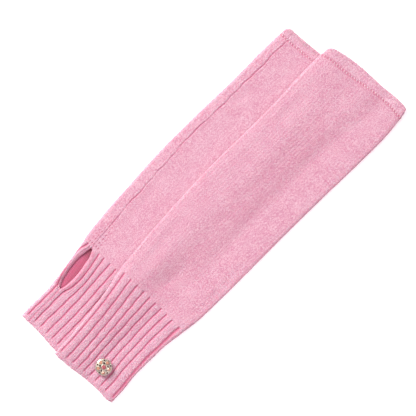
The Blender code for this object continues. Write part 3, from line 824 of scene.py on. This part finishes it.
linkStitch = {
    "pitch": 3.0,            # one linking stitch on every wale
    "length": 2.4,
    "radius": 0.48,
    "slant": 25.0,           # degrees off the line of the wales
    "sunk": 0.05,
    "sunkBelow": 0.95,       # pressed into the cloth where it lies on something
    "bow": 0.35,
    "inner": 0.45,           # depths in the band that it lies between
    "outer": -0.55,
    "sides": 6,
    "rings": 7,
    "hollow": -0.35,         # round and full, so it gets no painted shade of gaps
}


def addLinks(prefix, warmer, wool):
    # the band is linked on stitch by stitch, with a loop of yarn over each wale
    left, right = rowFolds(warmer, "band", 0.0)
    width = right - left
    count = int(2 * width / linkStitch["pitch"])
    around = (np.arange(count) + 0.5)[None, :] * 2 * sideLength(width, cloth["foldReach"]) / count
    zero = np.zeros((1, 1))
    centres, outside = (ringPoints(warmer, "band", zero, around, linkStitch[name])[0]
                        for name in ("inner", "outer"))
    sides, rings = linkStitch["sides"], linkStitch["rings"]
    dice = np.random.default_rng(8)
    vertices = []
    faces = []
    for centre, beyond in zip(centres, outside):
        outward = Vector(beyond - centre).normalized()
        slant = radians(linkStitch["slant"] + dice.normal(0, 7))
        runs = Matrix.Rotation(slant, 3, outward) @ Vector((0, 1, 0))
        runs = (runs - outward * runs.dot(outward)).normalized()
        across = outward.cross(runs)
        sunk = linkStitch["sunk"] if outward.z > -0.3 else linkStitch["sunkBelow"]
        middle = Vector((centre + beyond) / 2) - outward * (sunk + 0.1 * dice.random())
        base = len(vertices)
        for share in np.linspace(-1, 1, rings):
            reach = linkStitch["radius"] * np.sqrt(max(1 - share * share, 0.02))
            reach = reach * (1 + 0.15 * dice.normal())
            bow = outward * (linkStitch["bow"] * (1 - share * share) - 0.2)
            for k in range(sides):
                angle = 2 * pi * k / sides
                point = middle + runs * share * linkStitch["length"] / 2 + bow
                point = point + (across * cos(angle) + outward * sin(angle)) * reach
                vertices.append(Vector((point.x, point.y, max(point.z, 0.0))))
        for row in range(rings - 1):
            for k in range(sides):
                a = base + row * sides
                b = (k + 1) % sides
                faces.append((a + k, a + b, a + sides + b, a + sides + k))
        faces.append(tuple(base + k for k in reversed(range(sides))))
        faces.append(tuple(base + (rings - 1) * sides + k for k in range(sides)))
    points = np.array([tuple(v) for v in vertices])
    values = looseYarn(len(points), linkStitch["hollow"])
    piece = knitObject(f"{prefix}_linking_stitches", points, faces, values, wool)
    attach(piece, "root")
    return piece


hairs = {
    "count": 15000,          # on each warmer
    "length": 2.4,           # mm along the cloth
    "lengths": (0.5, 1.4),   # times that
    "lift": 0.9,
    "lifts": (0.3, 1.5),
    "curl": 0.35,
    "width": 0.09,           # a real fibre is a quarter of this, and would not show
    "edgeReach": 3.5,
    "edgeShare": 9.0,        # more stand off along the folds and the open ends
    "steps": 3,
    "hollow": -0.3,
    "seed": 17,
}


def hairShare(warmer, points, normals, hollow, covered):
    # how thickly the fibres stand at each point, none in the grooves, inside or underneath
    x, y = points[:, 0], points[:, 1]
    left, right = curve(warmer["left"], y), curve(warmer["right"], y)
    u = np.clip((x - left) / (right - left), 0.0, 1.0)
    fromEnds = np.minimum(y - curve(warmer["handEdge"], u), curve(warmer["elbowEdge"], u) - y)
    fromEdge = np.minimum(np.minimum(x - left, right - x), fromEnds)
    share = np.where(fromEdge < hairs["edgeReach"], hairs["edgeShare"], 1.0)
    hidden = (hollow > 0.6) | (normals[:, 2] < -0.3) | covered(x, y)
    return np.where(hidden, 0.0, share)


def underUpperWarmer(x, y):
    return x > curve(upperShape["left"], y) - 1.5


def addHairs(prefix, warmer, pieces, wool, covered):
    # single fibres that carding and washing have lifted off the yarn, as thin curved ribbons
    dice = np.random.default_rng(hairs["seed"])
    corners = []
    hollow = []
    for piece in pieces:
        mesh = piece.data
        mesh.calc_loop_triangles()
        places = np.empty(3 * len(mesh.vertices), np.float32)
        mesh.vertices.foreach_get("co", places)
        triangles = np.empty(3 * len(mesh.loop_triangles), np.int32)
        mesh.loop_triangles.foreach_get("vertices", triangles)
        triangles = triangles.reshape(-1, 3)
        deep = np.empty(len(mesh.vertices), np.float32)
        mesh.attributes["hollow"].data.foreach_get("value", deep)
        corners.append(places.reshape(-1, 3)[triangles] / mm + [pairMiddle[0], pairMiddle[1], 0.0])
        hollow.append(deep[triangles].mean(axis=1))
    corners = np.concatenate(corners)
    normals = np.cross(corners[:, 1] - corners[:, 0], corners[:, 2] - corners[:, 0])
    areas = np.linalg.norm(normals, axis=1)
    normals = normals / np.maximum(areas, 1e-9)[:, None]
    share = hairShare(warmer, corners.mean(axis=1), normals, np.concatenate(hollow), covered) * areas
    count = hairs["count"]
    chosen = dice.choice(len(share), count, p=share / share.sum())
    weights = dice.dirichlet((1.0, 1.0, 1.0), count)
    root = (corners[chosen] * weights[:, :, None]).sum(axis=1)
    up = normals[chosen]
    forward = np.cross(up, dice.normal(size=(count, 3)))
    forward /= np.linalg.norm(forward, axis=1)[:, None]
    aside = np.cross(up, forward)
    length = hairs["length"] * dice.uniform(*hairs["lengths"], (count, 1))
    lift = hairs["lift"] * dice.uniform(*hairs["lifts"], (count, 1))
    looped = dice.integers(0, 2, (count, 1))
    curl = hairs["curl"] * dice.normal(size=(count, 1))
    lean = dice.uniform(0, pi, (count, 1))
    broad = (aside * np.cos(lean) + up * np.sin(lean)) * hairs["width"] / 2
    rows = []
    for t in np.linspace(0, 1, hairs["steps"] + 1):
        rise = lift * np.where(looped, np.sin(pi * t), t ** 0.8) - 0.1
        spine = root + forward * length * t + aside * length * curl * t * t + up * rise
        rows += [spine - broad * (1 - 0.7 * t), spine + broad * (1 - 0.7 * t)]
    points = np.stack(rows, axis=1).reshape(-1, 3)
    points[:, 2] = np.maximum(points[:, 2], 0.02)
    base = np.arange(count)[:, None] * len(rows)
    quads = [base + np.array([2 * k, 2 * k + 1, 2 * k + 3, 2 * k + 2]) for k in range(hairs["steps"])]
    values = looseYarn(len(points), hairs["hollow"])
    piece = knitObject(f"{prefix}_stray_fibres", points, np.concatenate(quads).tolist(), values, wool)
    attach(piece, "root")
    return piece


def hexColour(value):
    # sRGB hex to linear
    channels = [int(value[k:k + 2], 16) / 255 for k in (0, 2, 4)]
    linear = [c / 12.92 if c <= 0.04045 else ((c + 0.055) / 1.055) ** 2.4 for c in channels]
    return (*linear, 1.0)


def addNode(tree, kind, settings=None, links=None):
    # a link given as a node takes that node's first output
    node = tree.nodes.new("ShaderNode" + kind)
    for key, value in (settings or {}).items():
        if isinstance(key, str) and hasattr(node, key):
            setattr(node, key, value)
        else:
            node.inputs[key].default_value = value
    for key, source in (links or {}).items():
        tree.links.new(getattr(source, "outputs", [source])[0], node.inputs[key])
    return node


def startMaterial(name):
    material = bpy.data.materials.new(name)
    material.use_nodes = True
    tree = material.node_tree
    tree.nodes.clear()
    return material, tree, addNode(tree, "TexCoord").outputs["Object"]


woolLook = {
    "light": "e9c8d7",       # pale fibres
    "dark": "cc88a5",
    "deep": "d06b8d",        # painted shade: the reddened shade of light that has passed through the wool, between the stitches and in the grooves
    "deepest": "904e5c",     # painted shade, deepest inside the tube
    "fleckSize": 0.95,       # heathered flecks, in mm
    "mottleSize": 12.0,
    "fibreSize": 0.3,        # single hairs are finer, and drawn this coarse so that they show
    "flecks": (0.45, 0.66),   # of the noise, from the dark to the light
    "gap": 0.45,             # painted shade: how much of the deep colour lies between the yarn's legs
    "legGap": 0.6,
    "rowGap": 0.8,
    "relief": 0.2,           # mm, of single hairs and the gaps
    "roughness": 0.9,
    "sheen": 0.08,
    "bloom": "ffd6e0",
    "glow": 0.35,            # light spreading through the fibres, the red furthest
    "glowReach": 1.3,        # mm
}


def knittedWool(name, look):
    # carded wool, knitted by machine and washed: matt, heathered, with a pale bloom of hairs
    # and painted shade in the gaps between the stitches
    material, tree, place = startMaterial(name)
    fleck = addNode(tree, "TexNoise", {"Scale": 1 / (look["fleckSize"] * mm), "Detail": 3.0,
                                       "Roughness": 0.65}, {"Vector": place})
    mottle = addNode(tree, "TexNoise", {"Scale": 1 / (look["mottleSize"] * mm), "Detail": 2.0},
                     {"Vector": place})
    blend = addNode(tree, "Math", {"operation": "MULTIPLY_ADD", 1: 0.1}, {0: mottle, 2: fleck})
    low, high = look["flecks"]
    tone = addNode(tree, "MapRange", {"From Min": low, "From Max": high}, {"Value": blend})
    strand = addNode(tree, "Mix", {"data_type": "RGBA", 6: hexColour(look["dark"]),
                                   7: hexColour(look["light"])}, {0: tone})
    # distance from the yarn's legs: two legs to a wale, one crest to a course
    gaps = []
    for label, repeats, power in (("wale", 1.0, 6.0), ("wale", 2.0, 4.0), ("course", 1.0, 4.0)):
        gap = addNode(tree, "Attribute", {"attribute_name": label}).outputs["Fac"]
        steps = (("MULTIPLY", {1: repeats}), ("FRACT", {}), ("MULTIPLY_ADD", {1: 2.0, 2: -1.0}),
                 ("ABSOLUTE", {}), ("POWER", {1: power}))
        for operation, numbers in steps:
            gap = addNode(tree, "Math", {"operation": operation, **numbers}, {0: gap})
        gaps.append(gap)
    legs = addNode(tree, "Math", {"operation": "MULTIPLY", 1: look["legGap"]}, {0: gaps[1]})
    sides = addNode(tree, "Math", {"operation": "MAXIMUM"}, {0: legs, 1: gaps[0]})
    rows = addNode(tree, "Math", {"operation": "MULTIPLY", 1: look["rowGap"]}, {0: gaps[2]})
    gap = addNode(tree, "Math", {"operation": "MAXIMUM"}, {0: sides, 1: rows})
    # painted shade: the deep colour in the gaps and where the attribute asks, and the deepest colour past
    # that
    hollow = addNode(tree, "Attribute", {"attribute_name": "hollow"}).outputs["Fac"]
    depth = addNode(tree, "Math", {"operation": "MULTIPLY_ADD", 1: look["gap"], "use_clamp": True},
                    {0: gap, 2: hollow})
    shade = addNode(tree, "Mix", {"data_type": "RGBA", 7: hexColour(look["deep"])},
                    {0: depth, 6: strand.outputs[2]})
    shadow = addNode(tree, "Math", {"operation": "MULTIPLY_ADD", 1: 0.5}, {0: gap, 2: hollow})
    within = addNode(tree, "Math", {"operation": "SUBTRACT", 1: 1.0, "use_clamp": True}, {0: shadow})
    colour = addNode(tree, "Mix", {"data_type": "RGBA", 7: hexColour(look["deepest"])},
                     {0: within, 6: shade.outputs[2]})
    fibre = addNode(tree, "TexNoise", {"Scale": 1 / (look["fibreSize"] * mm), "Detail": 2.0,
                                       "Distortion": 0.6}, {"Vector": place})
    surface = addNode(tree, "Math", {"operation": "MULTIPLY_ADD", 1: -1.2}, {0: gap, 2: fibre})
    relief = addNode(tree, "Bump", {"Strength": 0.6, "Distance": look["relief"] * mm}, {"Height": surface})
    shader = addNode(tree, "BsdfPrincipled",
                     {"Roughness": look["roughness"], "Sheen Weight": look["sheen"], "Sheen Roughness": 0.5,
                      "Sheen Tint": hexColour(look["bloom"]), "Specular IOR Level": 0.15,
                      "Subsurface Weight": look["glow"], "Subsurface Scale": look["glowReach"] * mm,
                      "Subsurface Radius": (1.0, 0.4, 0.5)},
                     {"Base Color": colour.outputs[2], "Normal": relief})
    addNode(tree, "OutputMaterial", links={"Surface": shader})
    return material


def addWarmer(prefix, warmer, wool, yarn, covered):
    tube = addTube(prefix, warmer, wool)
    band = addBand(prefix, warmer, wool)
    stitches = addLinks(prefix, warmer, yarn)
    fibres = addHairs(prefix, warmer, (tube, band), yarn, covered)
    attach(tube, "root")
    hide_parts(f"{prefix}_hand_rib", f"{prefix}_arm_tube")
    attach(band, "root")
    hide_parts(f"{prefix}_elbow_band")
    for piece in (tube, band, stitches, fibres):
        piece.data.calc_loop_triangles()
        print("knitted", piece.name, len(piece.data.loop_triangles), "triangles")
    return [tube, band]


buttonShape = {
    "place": (32.5, 24.5),   # x, y in mm
    "radius": 8.4,
    "lobes": 5,
    "lobeDepth": 0.25,
    "turn": 20.0,            # degrees, of the ring of stones
    "seat": 5.856,           # height of the cloth under it, sloping a little to the right
    "tilt": 4.8,
    "shank": 2.0,
    "foot": -0.41,
    # turned outline over the shank: radius, height, whether the rim's lobes move it
    "outline": ((2.0, 1.0, 0), (6.9, 1.0, 0), (7.9, 1.3, 1), (8.4, 1.9, 1), (8.2, 2.5, 1), (7.4, 2.9, 1),
                (5.6, 3.7, 0), (3.6, 4.2, 0), (1.8, 4.4, 0)),
    "sides": 120,
    "petalCircle": 5.5,
    "petalBezel": 1.95,
    "centreBezel": 2.55,
    "innerCircle": 4.05,     # small dark stones, two between each pair of petals
    "outerCircle": 6.85,
    "smallStone": 0.78,
    "rope": 0.42,
    "ropeCircle": 8.05,
    "ropeHeight": 2.25,
    "ropeTwists": 60,
    "grains": 45,            # in a row inside the rope
    "grainCircle": 7.45,
    "grain": 0.3,
    "centreGrains": 8,
    "claw": 0.26,            # four round each petal stone
    "clawCircle": 1.62,
    "between": 0.34,         # two grains between the small stones
}


def underButton(x, y):
    return np.hypot(x - buttonShape["place"][0], y - buttonShape["place"][1]) < buttonShape["radius"] + 1


def buttonMatrix():
    x, y = buttonShape["place"]
    place = Vector((x - pairMiddle[0], y - pairMiddle[1], buttonShape["seat"]))
    return Matrix.Translation(place) @ Matrix.Rotation(radians(buttonShape["tilt"]), 4, "Y")


def domeHeight(radius):
    front = sorted((row[0], row[1]) for row in buttonShape["outline"][-4:])
    return float(curve(front, radius))


def onDome(radius, angle, lift=0.0):
    # a frame standing on the dome, tipped outward with its slope
    slope = (domeHeight(radius + 0.4) - domeHeight(max(radius - 0.4, 0.0))) / 0.8
    tip = Matrix.Rotation(-np.arctan(slope), 4, "Y") if radius else Matrix.Identity(4)
    return Matrix.Rotation(angle, 4, "Z") @ Matrix.Translation((radius, 0, domeHeight(radius) + lift)) @ tip


def addRing(shape, matrix, major, minor, segments, sides=8, twists=0, twistDepth=0.0, lobeDepth=0.0):
    # a round wire bent to a circle, twisted as rope or following the rim's lobes
    rings = []
    for i in range(segments):
        turn = 2 * pi * i / segments
        wide = major + lobeDepth * cos(buttonShape["lobes"] * (turn - radians(buttonShape["turn"])))
        ring = []
        for k in range(sides):
            roll = 2 * pi * k / sides
            reach = minor * (1 + twistDepth * cos(2 * roll + twists * turn))
            out = wide + reach * cos(roll)
            point = Vector((out * cos(turn), out * sin(turn), reach * sin(roll)))
            ring.append(shape.verts.new(matrix @ point))
        rings.append(ring)
    for i in range(segments):
        low, high = rings[i], rings[(i + 1) % segments]
        for k in range(sides):
            j = (k + 1) % sides
            shape.faces.new((low[k], high[k], high[j], low[j]))


def addGrain(shape, matrix, radius):
    made = bmesh.ops.create_icosphere(shape, subdivisions=2, radius=radius)
    bmesh.ops.transform(shape, matrix=matrix, verts=made["verts"])


def skinRings(shape, rings):
    # closes a stack of rings of corners into a body
    shape.faces.new(list(reversed(rings[0])))
    shape.faces.new(rings[-1])
    for low, high in zip(rings, rings[1:]):
        for k in range(len(low)):
            j = (k + 1) % len(low)
            shape.faces.new((low[k], low[j], high[j], high[k]))


def addSmallStone(shape, matrix, girdle):
    # flat back, girdle, crown facets and table
    sides = 8
    levels = ((girdle * 0.85, 0.0, 0), (girdle, 0.22, 0), (girdle * 0.8, 0.5, 0.5), (girdle * 0.5, 0.68, 0))
    rings = []
    for reach, height, offset in levels:
        turns = [2 * pi * (k + offset) / sides for k in range(sides)]
        corners = [matrix @ Vector((reach * cos(a), reach * sin(a), height)) for a in turns]
        rings.append([shape.verts.new(corner) for corner in corners])
    skinRings(shape, rings)


def buttonPiece(name, shape, material, smooth):
    bmesh.ops.transform(shape, matrix=Matrix.Scale(mm, 4), verts=shape.verts)
    bmesh.ops.recalc_face_normals(shape, faces=shape.faces)
    mesh = bpy.data.meshes.new(name)
    shape.to_mesh(mesh)
    shape.free()
    if smooth:
        mesh.shade_smooth()
        mesh.set_sharp_from_angle(angle=radians(50))
    mesh.materials.append(material)
    piece = addObject(name, mesh)
    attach(piece, "root")
    return piece


def addButton():
    matrix = buttonMatrix()
    shape = bmesh.new()
    sides = buttonShape["sides"]
    turn = radians(buttonShape["turn"])
    lobes = buttonShape["lobes"]
    circles = (buttonShape["innerCircle"], buttonShape["outerCircle"])
    rings = []
    foot = (buttonShape["shank"], buttonShape["foot"], 0)
    for radius, height, lobed in (foot, *buttonShape["outline"], (0.3, 4.45, 0)):
        ring = []
        for k in range(sides):
            angle = 2 * pi * k / sides
            reach = radius + lobed * buttonShape["lobeDepth"] * cos(lobes * (angle - turn))
            ring.append(shape.verts.new(matrix @ Vector((reach * cos(angle), reach * sin(angle), height))))
        rings.append(ring)
    skinRings(shape, rings)
    # rope rim, a row of grains inside it, and a bezel with its own grains round each stone
    addRing(shape, matrix @ Matrix.Translation((0, 0, buttonShape["ropeHeight"])), buttonShape["ropeCircle"],
            buttonShape["rope"], 240, 8, buttonShape["ropeTwists"], 0.25, buttonShape["lobeDepth"])
    grain = buttonShape["grain"]
    for k in range(buttonShape["grains"]):
        angle = 2 * pi * k / buttonShape["grains"]
        addGrain(shape, matrix @ onDome(buttonShape["grainCircle"], angle, 0.0), grain)
    addRing(shape, matrix @ onDome(0.0, 0.0, 0.35), buttonShape["centreBezel"], 0.32, 48, 8, 20, 0.2)
    for k in range(buttonShape["centreGrains"]):
        angle = turn + 2 * pi * k / buttonShape["centreGrains"]
        addGrain(shape, matrix @ onDome(0.0, angle, 0.75) @ Matrix.Translation((2.2, 0, 0)), grain)
    for k in range(lobes):
        angle = turn + 2 * pi * k / lobes
        place = matrix @ onDome(buttonShape["petalCircle"], angle, 0.25)
        addRing(shape, place, buttonShape["petalBezel"], 0.26, 36, 8, 16, 0.2)
        for j in range(4):
            claw = Matrix.Translation((buttonShape["clawCircle"], 0, 0.5))
            claw = Matrix.Rotation(pi / 4 + j * pi / 2, 4, "Z") @ claw
            addGrain(shape, place @ claw, buttonShape["claw"])
        between = angle + pi / lobes
        for circle in circles:
            place = matrix @ onDome(circle, between, 0.15)
            addRing(shape, place, buttonShape["smallStone"] + 0.18, 0.2, 24, 6)
        for side in (-1, 1):
            place = matrix @ onDome(buttonShape["petalCircle"], between + side * 0.075, 0.1)
            addGrain(shape, place, buttonShape["between"])
    filigree = buttonPiece("button_filigree", shape, platedSilver(metalLook), True)
    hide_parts("button_frame")
    shape = bmesh.new()
    for k in range(lobes):
        between = turn + pi / lobes + 2 * pi * k / lobes
        for circle in circles:
            addSmallStone(shape, matrix @ onDome(circle, between, 0.12), buttonShape["smallStone"])
    dark = buttonPiece("button_dark_stones", shape, cutGlass("cut_garnet_glass", "4a1420"), False)
    rose = cutGlass("cut_rose_glass", "dd7280")
    peach = cutGlass("cut_peach_glass", "f2b096")
    for node in ("button_centre_stone", *(f"button_petal_stone_{k + 1}" for k in range(lobes))):
        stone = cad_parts[node]
        for slotNumber in range(len(stone.material_slots)):
            stone.material_slots[slotNumber].material = rose if node == "button_centre_stone" else peach
    print("button set")


metalLook = {"pale": "e8e0d6", "warm": "d3c5b6", "patchSize": 2.5, "roughness": 0.38}


def platedSilver(look):
    # cast brass, silver plated and tumbled: bright and soft-edged, a little warmer where it is worn
    material, tree, place = startMaterial("silver_plated_brass_cast")
    patches = addNode(tree, "TexNoise", {"Scale": 1 / (look["patchSize"] * mm), "Detail": 4.0},
                      {"Vector": place})
    colour = addNode(tree, "Mix", {"data_type": "RGBA", 6: hexColour(look["warm"]),
                                   7: hexColour(look["pale"])}, {0: patches})
    pits = addNode(tree, "TexNoise", {"Scale": 1 / (0.4 * mm), "Detail": 2.0}, {"Vector": place})
    relief = addNode(tree, "Bump", {"Strength": 0.25, "Distance": 0.05 * mm}, {"Height": pits})
    shader = addNode(tree, "BsdfPrincipled", {"Metallic": 1.0, "Roughness": look["roughness"]},
                     {"Base Color": colour.outputs[2], "Normal": relief})
    addNode(tree, "OutputMaterial", links={"Surface": shader})
    return material


def cutGlass(name, colour):
    # pressed and polished glass over foil: a clear gloss, and a colour that varies from facet to facet
    material, tree, place = startMaterial(name)
    depths = addNode(tree, "TexNoise", {"Scale": 1 / (1.5 * mm), "Detail": 1.0}, {"Vector": place})
    base = hexColour(colour)
    deep = (base[0] * 0.55, base[1] * 0.45, base[2] * 0.45, 1.0)
    tint = addNode(tree, "Mix", {"data_type": "RGBA", 6: deep, 7: base}, {0: depths})
    shader = addNode(tree, "BsdfPrincipled",
                     {"Roughness": 0.06, "IOR": 1.52, "Specular IOR Level": 0.8, "Transmission Weight": 0.15},
                     {"Base Color": tint.outputs[2]})
    addNode(tree, "OutputMaterial", links={"Surface": shader})
    return material


view = {
    "lookAt": (-1.92, 211.34, 5.0),   # mm
    "span": 416.0,                    # mm across the frame at the cloth
    "turn": 43.72,                    # degrees, the warmers lie aslant in the frame
    "distance": 3000.0,
}

light = {
    "key": {"place": (-5200.0, 400.0, 3500.0), "size": 3600.0, "power": 628.0, "colour": "f8fff6"},
    "fill": {"place": (700.0, -200.0, 900.0), "size": 1000.0, "power": 4.0, "colour": "fff2f6"},
    "room": 0.38,
    "roomColour": "ffeef3",  # a rosy room, from the wool's own bounce
    "table": 0.45,           # the table top is lit from below
}


def addCamera():
    lens = bpy.data.cameras.new("camera")
    lens.sensor_width = 36.0
    lens.lens = 36.0 * view["distance"] / view["span"]
    lens.clip_start = 0.1
    lens.clip_end = 20.0
    camera = addObject("camera", lens)
    x, y, z = view["lookAt"]
    camera.location = Vector((x - pairMiddle[0], y - pairMiddle[1], z + view["distance"])) * mm
    camera.rotation_euler = (0.0, 0.0, radians(view["turn"]))
    bpy.context.scene.camera = camera


def addLights():
    for name in ("key", "fill"):
        setting = light[name]
        lamp = bpy.data.lights.new(name, "AREA")
        lamp.shape = "DISK"
        lamp.size = setting["size"] * mm
        lamp.energy = setting["power"]
        lamp.color = hexColour(setting["colour"])[:3]
        thing = addObject(name, lamp)
        thing.location = Vector(setting["place"]) * mm
        thing.rotation_euler = (-thing.location).to_track_quat("-Z", "Y").to_euler()
    world = bpy.data.worlds.new("studio")
    world.use_nodes = True
    background = world.node_tree.nodes["Background"]
    background.inputs["Color"].default_value = hexColour(light["roomColour"])
    background.inputs["Strength"].default_value = light["room"]
    bpy.context.scene.world = world


def addFloor():
    # opal acrylic light table: matt white, and faintly lit from below
    material = bpy.data.materials.new("opal_acrylic_table")
    material.use_nodes = True
    shader = material.node_tree.nodes["Principled BSDF"]
    shader.inputs["Base Color"].default_value = hexColour("fdfdfd")
    shader.inputs["Roughness"].default_value = 0.8
    shader.inputs["Specular IOR Level"].default_value = 0.1
    shader.inputs["Emission Color"].default_value = hexColour("ffffff")
    shader.inputs["Emission Strength"].default_value = light["table"]
    mesh = bpy.data.meshes.new("floor")
    reach = 3.0
    corners = [(-reach, -reach, 0), (reach, -reach, 0), (reach, reach, 0), (-reach, reach, 0)]
    mesh.from_pydata(corners, [], [(0, 1, 2, 3)])
    mesh.materials.append(material)
    floor = addObject("floor", mesh)


addCamera()
addLights()
addFloor()
print("stage set")

wool = knittedWool("carded_wool_knit", woolLook)
# the linking yarn is the same wool, round, with no gaps of its own, and paler: a painted highlight for the
# light that its raised loops and the loose fibres catch
yarn = knittedWool("carded_wool_linking_yarn", {**woolLook, "light": "f4dfe6", "dark": "e8b9c8", "gap": 0.0})
underPieces = addWarmer("under", underShape, wool, yarn, underUpperWarmer)
addWarmer("upper", upperShape, wool, yarn, underButton)
addButton()

bpy.context.scene.view_settings.view_transform = "Standard"
